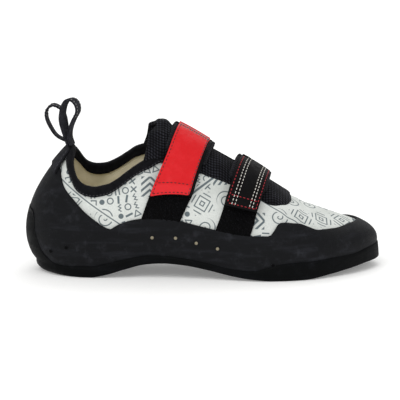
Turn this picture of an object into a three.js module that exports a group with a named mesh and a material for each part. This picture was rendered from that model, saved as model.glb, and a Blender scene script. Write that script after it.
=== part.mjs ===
// Right climbing shoe, standing on its sole: toe to +X, lateral side to -Y, up +Z, in millimetres.
import * as THREE from 'three';
import { mergeVertices } from 'three/addons/utils/BufferGeometryUtils.js';

// Main sizes of the last
const SHOE_LENGTH = 260;
const BALL_WIDTH = 95;
const INSTEP_HEIGHT = 113;
const HEEL_HEIGHT = 93;
const ARCH_RISE = 10.8;
const TOE_SPRING = 6.3;

// How far heel and toe stand out past the seam between upper and sole
const HEEL_OVERHANG = 11.5;
const TOE_OVERHANG = 4;

// Walls and clearances
const GAP = 0.3;
const UPPER_WALL = 2.0;
const RAND_WALL = 1.8;
const SOLE_LIP = 1.6;
const SOLE_SIDE = 12;
const SOLE_FLOOR = 5;
const SOLE_RIM = 1.5;
const LIP_EDGE = 0.6;
const LIP_HEIGHT = 0.8;
const HEEL_STRIP_HEIGHT = 38;
const INSOLE_THICKNESS = 2.2;
const INSOLE_INSET = 6;
const TONGUE_WALL = 2.6;
const TONGUE_RISE = 0.8;
const TONGUE_LEAN = 15;
const TAPE = 1.2;
const TAPE_DEPTH = 6.5;
const RAND_STOP = 1;
const TAB_WALL = 1.2;
const PATCH_WALL = 1.4;
const STRAP_WALL = 1.8;
const BASE_WALL_REAR = 2.2;
const BASE_WALL_FRONT = 3.8;
const BASE_EDGE = 2.4;
const WEBBING = 1.3;
const WEBBING_WIDTH = 9;

// Sections round the shoe, the same for each piece, so that neighbours keep their gap
const AROUND = 88;
const NEAR = 0.01;

// Seam outline, share of its length from the heel: centre line and half width, shares of the ball width.
// The half width is further multiplied by the round of the loop, which closes heel and toe.
const OUTLINE = [
  { at: 0.0, centre: 0.0, half: 0.52 },
  { at: 0.045, centre: -0.005, half: 0.515 },
  { at: 0.107, centre: -0.01, half: 0.46 },
  { at: 0.231, centre: -0.016, half: 0.362 },
  { at: 0.355, centre: -0.037, half: 0.3 },
  { at: 0.479, centre: -0.053, half: 0.316 },
  { at: 0.603, centre: -0.047, half: 0.395 },
  { at: 0.686, centre: -0.021, half: 0.468 },
  { at: 0.769, centre: 0.016, half: 0.521 },
  { at: 0.851, centre: 0.063, half: 0.542 },
  { at: 0.913, centre: 0.105, half: 0.537 },
  { at: 0.967, centre: 0.153, half: 0.537 },
  { at: 1.0, centre: 0.179, half: 0.526 },
];

// Sole: underside as shares of arch rise and toe spring, side and floor as shares of their thickness
const SOLE = [
  { at: 0.0, arch: 0.0, toe: 0.0, side: 0.667, floor: 1.0 },
  { at: 0.06, arch: 0.0, toe: 0.0, side: 0.6, floor: 0.96 },
  { at: 0.15, arch: 0.0, toe: 0.0, side: 0.62, floor: 0.96 },
  { at: 0.198, arch: 0.185, toe: 0.0, side: 0.633, floor: 0.9 },
  { at: 0.252, arch: 0.555, toe: 0.0, side: 0.567, floor: 0.9 },
  { at: 0.314, arch: 0.905, toe: 0.0, side: 0.483, floor: 0.88 },
  { at: 0.376, arch: 1.0, toe: 0.0, side: 0.4, floor: 0.76 },
  { at: 0.434, arch: 0.915, toe: 0.0, side: 0.36, floor: 0.7 },
  { at: 0.504, arch: 0.63, toe: 0.0, side: 0.345, floor: 0.68 },
  { at: 0.579, arch: 0.28, toe: 0.0, side: 0.367, floor: 0.74 },
  { at: 0.636, arch: 0.09, toe: 0.0, side: 0.467, floor: 0.94 },
  { at: 0.69, arch: 0.0, toe: 0.0, side: 0.83, floor: 1.0 },
  { at: 0.731, arch: 0.0, toe: 0.0, side: 1.0, floor: 1.0 },
  { at: 0.79, arch: 0.0, toe: 0.0, side: 1.05, floor: 1.0 },
  { at: 0.868, arch: 0.0, toe: 0.36, side: 0.93, floor: 0.96 },
  { at: 0.905, arch: 0.0, toe: 0.59, side: 0.82, floor: 0.96 },
  { at: 0.942, arch: 0.0, toe: 0.84, side: 0.72, floor: 0.94 },
  { at: 0.967, arch: 0.0, toe: 0.98, side: 0.77, floor: 0.94 },
  { at: 1.0, arch: 0.0, toe: 1.0, side: 0.85, floor: 0.94 },
];

// Ridge over the foot: height as a share of the local height, place across as a share of the ball width
const RIDGE = [
  { at: 0.12, height: 1.06, across: 0.0 },
  { at: 0.2, height: 1.15, across: 0.0 },
  { at: 0.27, height: 1.09, across: 0.0 },
  { at: 0.34, height: 1.0, across: 0.0 },
  { at: 0.41, height: 0.922, across: -0.005 },
  { at: 0.5, height: 0.81, across: -0.01 },
  { at: 0.57, height: 0.724, across: -0.01 },
  { at: 0.626, height: 0.652, across: 0.0 },
  { at: 0.686, height: 0.566, across: 0.01 },
  { at: 0.745, height: 0.474, across: 0.03 },
];
const RIDGE_REAR = 0.17;
const RIDGE_FRONT = 0.715;
const RIDGE_BLEND = 0.035;

// Girth: bulge and shoulder as shares of the ball width, rise as a share of the local height
const GIRTH = [
  { at: 0.0, bulge: 0.215, rise: 0.27, shoulder: 0.44 },
  { at: 0.05, bulge: 0.165, rise: 0.26, shoulder: 0.37 },
  { at: 0.107, bulge: 0.1, rise: 0.25, shoulder: 0.31 },
  { at: 0.231, bulge: 0.074, rise: 0.27, shoulder: 0.3 },
  { at: 0.355, bulge: 0.063, rise: 0.265, shoulder: 0.275 },
  { at: 0.479, bulge: 0.053, rise: 0.24, shoulder: 0.235 },
  { at: 0.603, bulge: 0.037, rise: 0.21, shoulder: 0.23 },
  { at: 0.686, bulge: 0.022, rise: 0.18, shoulder: 0.25 },
  { at: 0.769, bulge: 0.022, rise: 0.165, shoulder: 0.29 },
  { at: 0.851, bulge: 0.026, rise: 0.165, shoulder: 0.285 },
  { at: 0.913, bulge: 0.03, rise: 0.164, shoulder: 0.295 },
  { at: 1.0, bulge: 0.06, rise: 0.16, shoulder: 0.31 },
];

// Collar and throat edge, share of the local height on each side
const EDGE = [
  { at: 0.0, lateral: 0.99, medial: 0.99 },
  { at: 0.02, lateral: 0.975, medial: 0.978 },
  { at: 0.04, lateral: 0.945, medial: 0.962 },
  { at: 0.058, lateral: 0.9, medial: 0.948 },
  { at: 0.074, lateral: 0.853, medial: 0.93 },
  { at: 0.088, lateral: 0.808, medial: 0.908 },
  { at: 0.1, lateral: 0.77, medial: 0.885 },
  { at: 0.117, lateral: 0.736, medial: 0.845 },
  { at: 0.14, lateral: 0.709, medial: 0.793 },
  { at: 0.17, lateral: 0.692, medial: 0.757 },
  { at: 0.2, lateral: 0.692, medial: 0.745 },
  { at: 0.23, lateral: 0.711, medial: 0.758 },
  { at: 0.258, lateral: 0.741, medial: 0.782 },
  { at: 0.291, lateral: 0.77, medial: 0.81 },
  { at: 0.315, lateral: 0.783, medial: 0.812 },
  { at: 0.335, lateral: 0.782, medial: 0.805 },
  { at: 0.37, lateral: 0.76, medial: 0.775 },
  { at: 0.42, lateral: 0.72, medial: 0.73 },
  { at: 0.479, lateral: 0.672, medial: 0.68 },
  { at: 0.506, lateral: 0.65, medial: 0.656 },
  { at: 0.561, lateral: 0.604, medial: 0.61 },
  { at: 0.61, lateral: 0.552, medial: 0.556 },
  { at: 0.672, lateral: 0.491, medial: 0.495 },
  { at: 0.7, lateral: 0.476, medial: 0.48 },
  { at: 0.731, lateral: 0.468, medial: 0.473 },
  { at: 0.766, lateral: 0.466, medial: 0.471 },
  { at: 0.814, lateral: 0.47, medial: 0.475 },
  { at: 0.9, lateral: 0.476, medial: 0.48 },
  { at: 1.0, lateral: 0.485, medial: 0.485 },
];

// Top edge of the rand, share of the local height on each side
const RAND_TOP = [
  { at: 0.0, lateral: 0.86, medial: 0.86 },
  { at: 0.03, lateral: 0.835, medial: 0.835 },
  { at: 0.045, lateral: 0.79, medial: 0.79 },
  { at: 0.057, lateral: 0.745, medial: 0.745 },
  { at: 0.07, lateral: 0.698, medial: 0.698 },
  { at: 0.083, lateral: 0.661, medial: 0.661 },
  { at: 0.097, lateral: 0.626, medial: 0.626 },
  { at: 0.114, lateral: 0.583, medial: 0.588 },
  { at: 0.13, lateral: 0.538, medial: 0.545 },
  { at: 0.15, lateral: 0.488, medial: 0.497 },
  { at: 0.17, lateral: 0.442, medial: 0.453 },
  { at: 0.192, lateral: 0.396, medial: 0.41 },
  { at: 0.212, lateral: 0.369, medial: 0.395 },
  { at: 0.226, lateral: 0.385, medial: 0.41 },
  { at: 0.24, lateral: 0.398, medial: 0.42 },
  { at: 0.284, lateral: 0.41, medial: 0.435 },
  { at: 0.34, lateral: 0.4, medial: 0.425 },
  { at: 0.42, lateral: 0.378, medial: 0.4 },
  { at: 0.45, lateral: 0.362, medial: 0.385 },
  { at: 0.51, lateral: 0.33, medial: 0.35 },
  { at: 0.6, lateral: 0.294, medial: 0.31 },
  { at: 0.633, lateral: 0.286, medial: 0.3 },
  { at: 0.68, lateral: 0.284, medial: 0.297 },
  { at: 0.695, lateral: 0.296, medial: 0.305 },
  { at: 0.708, lateral: 0.336, medial: 0.34 },
  { at: 0.722, lateral: 0.362, medial: 0.364 },
  { at: 0.74, lateral: 0.362, medial: 0.364 },
  { at: 0.764, lateral: 0.355, medial: 0.36 },
  { at: 0.794, lateral: 0.346, medial: 0.35 },
  { at: 0.82, lateral: 0.325, medial: 0.33 },
  { at: 0.85, lateral: 0.3, medial: 0.31 },
  { at: 0.89, lateral: 0.294, medial: 0.3 },
  { at: 0.93, lateral: 0.289, medial: 0.293 },
  { at: 0.975, lateral: 0.295, medial: 0.295 },
  { at: 1.0, lateral: 0.295, medial: 0.295 },
];

// Sole strip that climbs the heel: share of its height over the loop, from the heel to each side
const HEEL_STRIP = [
  { at: 0.0, rise: 1.0 },
  { at: 0.009, rise: 0.97 },
  { at: 0.0145, rise: 0.86 },
  { at: 0.0191, rise: 0.62 },
  { at: 0.0263, rise: 0.38 },
  { at: 0.0327, rise: 0.21 },
  { at: 0.0577, rise: 0.02 },
  { at: 0.08, rise: 0.0 },
  { at: 1.0, rise: 0.0 },
];

// Bands over the foot: down is the share of the way from the ridge to the rand, lateral negative,
// rear and front are shares of the seam length
const BAND_REAR = [
  { down: -1.0, rear: 0.303, front: 0.42 },
  { down: -0.83, rear: 0.327, front: 0.444 },
  { down: -0.76, rear: 0.337, front: 0.454 },
  { down: -0.62, rear: 0.358, front: 0.466 },
  { down: -0.48, rear: 0.376, front: 0.477 },
  { down: -0.3, rear: 0.391, front: 0.49 },
  { down: -0.14, rear: 0.401, front: 0.499 },
  { down: 0.0, rear: 0.407, front: 0.506 },
  { down: 0.3, rear: 0.396, front: 0.499 },
  { down: 0.65, rear: 0.374, front: 0.478 },
  { down: 1.0, rear: 0.35, front: 0.456 },
];
const BAND_FRONT = [
  { down: -1.0, rear: 0.525, front: 0.629 },
  { down: -0.88, rear: 0.538, front: 0.639 },
  { down: -0.755, rear: 0.549, front: 0.647 },
  { down: -0.6, rear: 0.559, front: 0.657 },
  { down: -0.47, rear: 0.567, front: 0.665 },
  { down: -0.3, rear: 0.576, front: 0.672 },
  { down: -0.12, rear: 0.585, front: 0.679 },
  { down: 0.0, rear: 0.591, front: 0.683 },
  { down: 0.3, rear: 0.586, front: 0.68 },
  { down: 0.65, rear: 0.576, front: 0.673 },
  { down: 1.0, rear: 0.565, front: 0.665 },
];

// Stretch of its band that each piece covers, from lateral to medial
const STRETCH = {
  patch_rear: { from: -1, to: -0.5 },
  patch_front: { from: -1, to: -0.62 },
  strap_rear: { from: -0.83, to: 0.08, skew: 0.06 },
  strap_front: { from: -0.755, to: 0.08 },
  base: { from: -0.43, to: 1 },
};

// Pull loops: centre line of each webbing, shares of the heel height from the heel crest, with its turn
const LOOP_REAR = [
  { back: 0.05, up: 0.03, across: 0.055, turn: 0 },
  { back: 0.12, up: 0.07, across: 0.055, turn: 4 },
  { back: 0.17, up: 0.14, across: 0.055, turn: 8 },
  { back: 0.202, up: 0.22, across: 0.055, turn: 10 },
  { back: 0.198, up: 0.28, across: 0.055, turn: 10 },
  { back: 0.155, up: 0.315, across: 0.055, turn: 8 },
  { back: 0.1, up: 0.295, across: 0.055, turn: 6 },
  { back: 0.06, up: 0.24, across: 0.055, turn: 4 },
  { back: 0.038, up: 0.14, across: 0.055, turn: 2 },
  { back: 0.035, up: 0.05, across: 0.055, turn: 0 },
  { back: 0.027, up: 0.03, across: 0.055, turn: 0 },
];
const LOOP_FRONT = [
  { back: 0.026, up: 0.02, across: -0.06, turn: 20 },
  { back: 0.046, up: 0.087, across: -0.06, turn: 24 },
  { back: 0.066, up: 0.154, across: -0.06, turn: 27 },
  { back: 0.079, up: 0.222, across: -0.06, turn: 30 },
  { back: 0.074, up: 0.288, across: -0.06, turn: 32 },
  { back: 0.06, up: 0.342, across: -0.06, turn: 32 },
  { back: 0.03, up: 0.382, across: -0.06, turn: 32 },
  { back: -0.008, up: 0.378, across: -0.06, turn: 28 },
  { back: -0.038, up: 0.342, across: -0.06, turn: 24 },
  { back: -0.045, up: 0.288, across: -0.06, turn: 22 },
  { back: -0.014, up: 0.222, across: -0.06, turn: 22 },
  { back: 0.012, up: 0.154, across: -0.06, turn: 22 },
  { back: 0.019, up: 0.087, across: -0.06, turn: 22 },
  { back: 0.0, up: 0.02, across: -0.06, turn: 22 },
];

const SEAM_LENGTH = SHOE_LENGTH - HEEL_OVERHANG - TOE_OVERHANG;
const SEAM_REAR = -SHOE_LENGTH / 2 + HEEL_OVERHANG;
const FULL_TURN = Math.PI * 2;

// Smooth curve through one column of a table, flat at its peaks, so that it never overshoots
function curve(rows, column, key = 'at') {
  const xs = rows.map((row) => row[key]);
  const ys = rows.map((row) => row[column]);
  const last = xs.length - 1;
  const steps = xs.slice(1).map((x, i) => (ys[i + 1] - ys[i]) / (x - xs[i]));
  const slopes = ys.map((_, i) => {
    if (i === 0) return steps[0];
    if (i === last) return steps[last - 1];
    const before = steps[i - 1];
    const after = steps[i];
    return before * after <= 0 ? 0 : (2 * before * after) / (before + after);
  });
  return (x) => {
    const inside = Math.min(Math.max(x, xs[0]), xs[last]);
    let i = 0;
    while (i < last - 1 && inside > xs[i + 1]) i += 1;
    const width = xs[i + 1] - xs[i];
    const u = (inside - xs[i]) / width;
    const rise = ys[i + 1] - ys[i];
    const start = slopes[i] * width - rise;
    const end = rise - slopes[i + 1] * width;
    return ys[i] + rise * u + u * (1 - u) * ((1 - u) * start + u * end);
  };
}

const smooth = (low, high, x) => THREE.MathUtils.smoothstep(x, low, high);
const mix = THREE.MathUtils.lerp;

const centreLine = curve(OUTLINE, 'centre');
const halfWidth = curve(OUTLINE, 'half');
const archShare = curve(SOLE, 'arch');
const toeShare = curve(SOLE, 'toe');
const sideShare = curve(SOLE, 'side');
const floorShare = curve(SOLE, 'floor');
const ridgeHeight = curve(RIDGE, 'height');
const ridgeAcross = curve(RIDGE, 'across');
const bulge = curve(GIRTH, 'bulge');
const rise = curve(GIRTH, 'rise');
const shoulder = curve(GIRTH, 'shoulder');
const stripRise = curve(HEEL_STRIP, 'rise');
const edgeSides = { lateral: curve(EDGE, 'lateral'), medial: curve(EDGE, 'medial') };
const randSides = { lateral: curve(RAND_TOP, 'lateral'), medial: curve(RAND_TOP, 'medial') };

// The foot is scaled by the heel height at its back and by the instep height from the arch forward
const localHeight = (at) => mix(HEEL_HEIGHT, INSTEP_HEIGHT, smooth(0.1, 0.4, at));
const underside = (at) => ARCH_RISE * archShare(at) + TOE_SPRING * toeShare(at);
const seamHeight = (at) => underside(at) + SOLE_SIDE * sideShare(at);
const floorHeight = (at) => underside(at) + SOLE_FLOOR * floorShare(at);

// Share of the seam length at an angle of the loop: 0 at the heel, half a turn at the toe
const shareAt = (angle) => (1 - Math.cos(angle)) / 2;
const isLateral = (angle) => Math.sin(angle) >= 0;
const angleOf = (share, side) => {
  const angle = Math.acos(THREE.MathUtils.clamp(1 - 2 * share, -1, 1));
  return side < 0 ? angle : FULL_TURN - angle;
};

// Point of the seam between upper and sole
function seamPoint(angle) {
  const at = shareAt(angle);
  const y = BALL_WIDTH * (centreLine(at) - halfWidth(at) * Math.sin(angle));
  return new THREE.Vector3(SEAM_REAR + SEAM_LENGTH * at, y, seamHeight(at) + GAP);
}

// Place along the ridge that belongs to an angle, held between its rear and front ends
function ridgeShare(angle) {
  const at = shareAt(angle);
  const soft = (x) => RIDGE_BLEND * Math.log1p(Math.exp(x / RIDGE_BLEND));
  return RIDGE_REAR + soft(at - RIDGE_REAR) - soft(at - RIDGE_FRONT);
}

function ridgePoint(share) {
  const z = localHeight(share) * ridgeHeight(share);
  return new THREE.Vector3(SEAM_REAR + SEAM_LENGTH * share, BALL_WIDTH * ridgeAcross(share), z);
}

function ridgeSlope(share) {
  const step = 0.01;
  return (ridgePoint(share + step).z - ridgePoint(share - step).z) / (2 * step * SEAM_LENGTH);
}

// Surface of the last: height runs from 0 on the seam to 1 on the ridge
function lastPoint(angle, height) {
  const at = shareAt(angle);
  const share = ridgeShare(angle);
  const seam = seamPoint(angle);
  const ridge = ridgePoint(share);
  const outward = new THREE.Vector3(seam.x - ridge.x, seam.y - ridge.y, 0).normalize();
  const low = seam.clone().addScaledVector(outward, BALL_WIDTH * bulge(at));
  low.z += localHeight(at) * rise(at);
  const reach = BALL_WIDTH * shoulder(at);
  const high = ridge.clone().addScaledVector(outward, reach);
  high.z += ridgeSlope(share) * outward.x * reach;
  const rest = 1 - height;
  return new THREE.Vector3()
    .addScaledVector(seam, rest ** 3)
    .addScaledVector(low, 3 * rest ** 2 * height)
    .addScaledVector(high, 3 * rest * height ** 2)
    .addScaledVector(ridge, height ** 3);
}

// Outward direction of the last, turned level at the seam and straight up from the ridge line
const LEVEL_END = 0.12;
function lastNormal(angle, height) {
  const step = 0.002;
  if (height > 1 - step) return new THREE.Vector3(-ridgeSlope(ridgeShare(angle)), 0, 1).normalize();
  const along = lastPoint(angle + step, height).sub(lastPoint(angle - step, height));
  const low = Math.max(height - step, 0);
  const up = lastPoint(angle, height + step).sub(lastPoint(angle, low));
  const normal = up.cross(along).normalize();
  const ahead = seamPoint(angle + step).sub(seamPoint(angle - step));
  const level = new THREE.Vector3(-ahead.y, ahead.x, 0).normalize().negate();
  if (normal.dot(level) < 0) normal.negate();
  return level.lerp(normal, smooth(0, LEVEL_END, height)).normalize();
}

// Point at a distance outside (or, when negative, inside) the last
function skin(angle, height, offset) {
  return lastPoint(angle, height).addScaledVector(lastNormal(angle, height), offset);
}

// Share of the way up at which the last reaches a height in millimetres
function heightShare(angle, z) {
  let low = 0;
  let high = 1;
  for (let i = 0; i < 30; i += 1) {
    const middle = (low + high) / 2;
    if (lastPoint(angle, middle).z < z) low = middle;
    else high = middle;
  }
  return (low + high) / 2;
}

// The same share moved up by a length in millimetres along the last
function climb(angle, height, length) {
  const step = 0.01;
  const speed = lastPoint(angle, height).distanceTo(lastPoint(angle, height - step)) / step;
  return height + length / speed;
}

function sideCurve(sides, angle) {
  const at = shareAt(angle);
  const side = isLateral(angle) ? sides.lateral : sides.medial;
  return heightShare(angle, localHeight(at) * side(at));
}
const edgeShare = (angle) => sideCurve(edgeSides, angle);
const tapeShare = (angle) => climb(angle, edgeShare(angle), -TAPE_DEPTH);
const underTape = (angle) => climb(angle, tapeShare(angle), -RAND_STOP);
const randShare = (angle) => Math.min(sideCurve(randSides, angle), underTape(angle));

// Point over the foot by its share of the length and its share of the way from ridge to rand
function footPoint(share, down, offset) {
  const angle = angleOf(share, down);
  const lowest = climb(angle, randShare(angle), GAP);
  return skin(angle, mix(1, lowest, Math.abs(down)), offset);
}

// Closed solid from sections of equal point counts; ring joins the last section to the first,
// and a tube closes each section on itself. Open rows of sections get flat ends, paired across.
function loft(sections, { ring = false, tube = true, paired = false } = {}) {
  const count = sections[0].length;
  const points = sections.flat();
  const positions = points.flatMap((point) => [point.x, point.y, point.z]);
  const index = [];
  const quad = (a, b, c, d, first) => {
    if (first) index.push(a, b, c, a, c, d);
    else index.push(a, b, d, b, c, d);
  };
  // Outer and inner faces of a band are cut along the same diagonals, other faces along the shorter
  const shorter = (a, b, c, d) => points[a].distanceTo(points[c]) < points[b].distanceTo(points[d]);
  const rows = ring ? sections.length : sections.length - 1;
  const columns = tube ? count : count - 1;
  for (let i = 0; i < rows; i += 1) {
    const here = i * count;
    const next = ((i + 1) % sections.length) * count;
    for (let j = 0; j < columns; j += 1) {
      const k = (j + 1) % count;
      const corners = [here + j, next + j, next + k, here + k];
      quad(...corners, paired ? j < count / 2 : shorter(...corners));
    }
  }
  if (!ring) {
    const end = (sections.length - 1) * count;
    for (let j = 0; j < count / 2 - 1; j += 1) {
      const across = count - 1 - j;
      quad(j, j + 1, across - 1, across, true);
      quad(end + across, end + across - 1, end + j + 1, end + j, true);
    }
  }
  const geometry = new THREE.BufferGeometry();
  geometry.setAttribute('position', new THREE.Float32BufferAttribute(positions, 3));
  geometry.setIndex(index);
  return turnOutward(dropFlat(mergeVertices(geometry, 1e-3)));
}

// Leave out triangles whose corners have been merged
function dropFlat(geometry) {
  const index = geometry.index.array;
  const kept = [];
  for (let i = 0; i < index.length; i += 3) {
    const [a, b, c] = [index[i], index[i + 1], index[i + 2]];
    if (a !== b && b !== c && c !== a) kept.push(a, b, c);
  }
  geometry.setIndex(kept);
  return geometry;
}

function turnOutward(geometry) {
  const position = geometry.attributes.position;
  const index = geometry.index.array;
  const corner = (i) => new THREE.Vector3().fromBufferAttribute(position, index[i]);
  let volume = 0;
  for (let i = 0; i < index.length; i += 3) {
    volume += corner(i).dot(corner(i + 1).cross(corner(i + 2)));
  }
  if (volume < 0) geometry.setIndex(Array.from(index).reverse());
  geometry.computeVertexNormals();
  return geometry;
}

const steps = (count, from, to) =>
  Array.from({ length: count }, (_, i) => mix(from, to, i / (count - 1)));
const TURNS = Array.from({ length: AROUND }, (_, i) => (FULL_TURN * i) / AROUND);

// Angles from one end of a stretch to the other through the heel (negative ones are medial)
function heelTurns(end) {
  const inner = TURNS.map((angle) => (angle > Math.PI ? angle - FULL_TURN : angle))
    .filter((turn) => Math.abs(turn) < end - NEAR)
    .sort((a, b) => a - b);
  return [-end, ...inner, end];
}

// Rows that neighbours share at an angle: lip of the sole, rand, tape and edge of the upper
function lipShare(angle) {
  const at = shareAt(angle);
  return heightShare(angle, seamHeight(at) + GAP + LIP_HEIGHT + HEEL_STRIP_HEIGHT * stripRise(at));
}
const lipRows = (angle) => steps(4, 0, lipShare(angle));
const randRows = (angle) => [...lipRows(angle), ...steps(3, lipShare(angle), randShare(angle)).slice(1)];
function upperRows(angle) {
  const tape = tapeShare(angle);
  return [...randRows(angle), mix(randShare(angle), tape, 0.5), tape, edgeShare(angle)];
}

// Wall between two offsets of the last along the given rows
function wallSection(angle, heights, outer, inner) {
  const outside = heights.map((height) => skin(angle, height, outer));
  const inside = heights.map((height) => skin(angle, height, inner)).reverse();
  return [...outside, ...inside];
}

function makeUpper() {
  const sections = TURNS.map((angle) => wallSection(angle, upperRows(angle), 0, -UPPER_WALL));
  return loft(sections, { ring: true });
}

function makeRand() {
  const sections = TURNS.map((angle) => wallSection(angle, randRows(angle), GAP + RAND_WALL, GAP));
  return loft(sections, { ring: true });
}

// Point of the sole at a share of the way out from its middle line
const MIDDLE_REAR = 0.1;
const MIDDLE_FRONT = 0.82;
function soleSpread(angle, spread, inset, z) {
  const share = THREE.MathUtils.clamp(shareAt(angle), MIDDLE_REAR, MIDDLE_FRONT);
  const middle = new THREE.Vector3(SEAM_REAR + SEAM_LENGTH * share, BALL_WIDTH * centreLine(share), 0);
  const point = middle.lerp(skin(angle, 0, -inset), spread);
  point.z = z((point.x - SEAM_REAR) / SEAM_LENGTH);
  return point;
}

// How far the lower edge of the sole is tucked in under its rim: most at the heel
const EDGE_ROUND = 1.5;
const HEEL_ROUND = 8.5;
const HEEL_END = 0.13;
const TOE_CRISP = 0.75;
const TOE_START = 0.85;
const edgeRound = (at) => EDGE_ROUND * (1 - TOE_CRISP * smooth(TOE_START, 0.97, at));
const soleTuck = (at) => edgeRound(at) + HEEL_ROUND * (1 - smooth(0, HEEL_END, at));

// Outsole: underside, rounded edge, side, lip with its heel strip, rim and dished floor
function makeOutsole() {
  const lipInner = GAP * 2 + RAND_WALL;
  const lipOuter = lipInner + SOLE_LIP;
  const lipThin = lipInner + LIP_EDGE;
  const sections = TURNS.map((angle) => {
    const at = shareAt(angle);
    const tuck = soleTuck(at);
    const low = underside(at);
    const seam = seamHeight(at);
    const edge = (inset, z) => {
      const point = skin(angle, 0, lipOuter - inset);
      point.z = z;
      return point;
    };
    const lip = lipRows(angle);
    return [
      soleSpread(angle, 0, 0, underside),
      soleSpread(angle, 0.5, 0, underside),
      edge(tuck + edgeRound(at), low),
      edge(tuck * 0.35, mix(low, seam, 0.25)),
      edge(tuck * 0.08, mix(low, seam, 0.6)),
      ...lip.map((height) => skin(angle, height, mix(lipOuter, lipThin, height / lipShare(angle)))),
      ...lip.map((height) => skin(angle, height, lipInner)).reverse(),
      edge(lipOuter - lipInner + GAP, seam),
      edge(lipOuter + UPPER_WALL + SOLE_RIM, seam),
      soleSpread(angle, 1, INSOLE_INSET - GAP, floorHeight),
      soleSpread(angle, 0, 0, floorHeight),
    ];
  });
  return loft(sections, { ring: true, tube: false });
}

function makeInsole() {
  const bottom = (share) => floorHeight(share) + GAP;
  const top = (share) => bottom(share) + INSOLE_THICKNESS;
  const sections = TURNS.map((angle) => [
    soleSpread(angle, 0, 0, bottom),
    soleSpread(angle, 1, INSOLE_INSET, bottom),
    soleSpread(angle, 1, INSOLE_INSET, top),
    soleSpread(angle, 0, 0, top),
  ]);
  return loft(sections, { ring: true, tube: false });
}

// Tongue: fills the throat, its upper end leans forward from the collar corners to the ridge
const THROAT_CORNER = 0.302;
const LEAN_END = 0.46;
function makeTongue() {
  const start = angleOf(THROAT_CORNER, -1);
  const inner = TURNS.filter((angle) => angle > start + NEAR && angle < FULL_TURN - start - NEAR);
  const sections = [start, ...inner, FULL_TURN - start].map((angle) => {
    const at = shareAt(angle);
    const side = isLateral(angle) ? -1 : 1;
    const lean = (TONGUE_LEAN / SEAM_LENGTH) * (1 - smooth(THROAT_CORNER, LEAN_END, at));
    const place = (share, offset) => {
      const moved = share === 0 ? angle : angleOf(at + lean * share, side);
      const height = mix(climb(moved, edgeShare(moved), GAP), 1, share);
      return skin(moved, height, offset);
    };
    const shares = steps(5, 1, 0);
    return [
      ...shares.map((share) => place(share, TONGUE_RISE * smooth(0, 0.3, share))),
      ...shares.map((share) => place(share, TONGUE_RISE - TONGUE_WALL)).reverse(),
    ];
  });
  return loft(sections, { tube: false });
}

// Folded tape over the collar edge, from one throat corner round the heel to the other
const TAPE_END = THROAT_CORNER - 0.004;
function makeBinding() {
  const inside = -UPPER_WALL - GAP;
  const sections = heelTurns(angleOf(TAPE_END, -1)).map((angle) => {
    const edge = edgeShare(angle);
    const low = tapeShare(angle);
    const place = (length, offset) => skin(angle, climb(angle, edge, length), offset);
    return [
      skin(angle, low, GAP + TAPE),
      place(GAP, GAP + TAPE),
      place(GAP + TAPE, -UPPER_WALL / 2),
      place(GAP, inside - TAPE),
      skin(angle, low, inside - TAPE),
      skin(angle, low, inside),
      place(GAP, inside),
      place(GAP, -UPPER_WALL / 2),
      place(GAP, GAP),
      skin(angle, low, GAP),
    ];
  });
  return loft(sections);
}

// Patch over the heel top, clear of the rand and of the tape
const TAB_TURN = 0.36;
const TAB_FOOT = 0.84;
const TAB_DROP = 0.06;
function makeHeelTab() {
  const inner = GAP * 2 + RAND_WALL;
  const sections = heelTurns(TAB_TURN).map((angle) => {
    const drop = TAB_DROP * (1 - Math.cos((angle / TAB_TURN) * Math.PI / 2));
    const bottom = heightShare(angle, HEEL_HEIGHT * (TAB_FOOT - drop));
    const top = climb(angle, edgeShare(angle), -GAP);
    return wallSection(angle, steps(4, bottom, top), inner + TAB_WALL, inner);
  });
  return loft(sections);
}

// Rows at which every band over the foot is bent, closer together near the ridge
const GIRTH_ROWS = [
  -0.85, -0.7, -0.56, -0.43, -0.33, -0.24, -0.16, -0.08, 0, 0.08, 0.16, 0.24, 0.36, 0.5, 0.65, 0.82];

// Part of a band between two offsets of the last, made wider on both edges by the spread.
// A stretch with a skew has its lateral end cut aslant, higher at the front.
const SKEW_TOP = -0.4;
function makeBand(rows, stretch, outer, inner, spread = 0) {
  const rear = curve(rows, 'rear', 'down');
  const front = curve(rows, 'front', 'down');
  const skew = stretch.skew ?? 0;
  const inside = GIRTH_ROWS.filter((down) => down > stretch.from + NEAR && down < stretch.to - NEAR);
  const sections = [stretch.from, ...inside, stretch.to].map((row) => {
    const places = steps(5, 0, 1).map((across) => {
      const down = row + skew * across * (1 - smooth(stretch.from, SKEW_TOP, row));
      return { share: mix(rear(down), front(down), across), down };
    });
    if (spread > 0) {
      places.unshift({ share: rear(row) - spread, down: row });
      places.push({ share: front(row) + spread, down: row });
    }
    const face = (offset) => places.map(({ share, down }) => footPoint(share, down, offset));
    return [...face(outer), ...face(inner).reverse()];
  });
  return loft(sections, { paired: true });
}

// Patch on the upper, elastic base over it and strap on top, each clear of the one below
const PATCH_TOP = GAP + PATCH_WALL;
const BASE_FOOT = PATCH_TOP + GAP;
const makePatch = (rows, stretch) => makeBand(rows, stretch, PATCH_TOP, GAP);
const makeBase = (rows, wall) => makeBand(
  rows, STRETCH.base, BASE_FOOT + wall, BASE_FOOT, BASE_EDGE / SEAM_LENGTH);
function makeStrap(rows, stretch, wall) {
  const foot = BASE_FOOT + wall + GAP;
  return makeBand(rows, stretch, foot + STRAP_WALL, foot);
}

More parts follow.
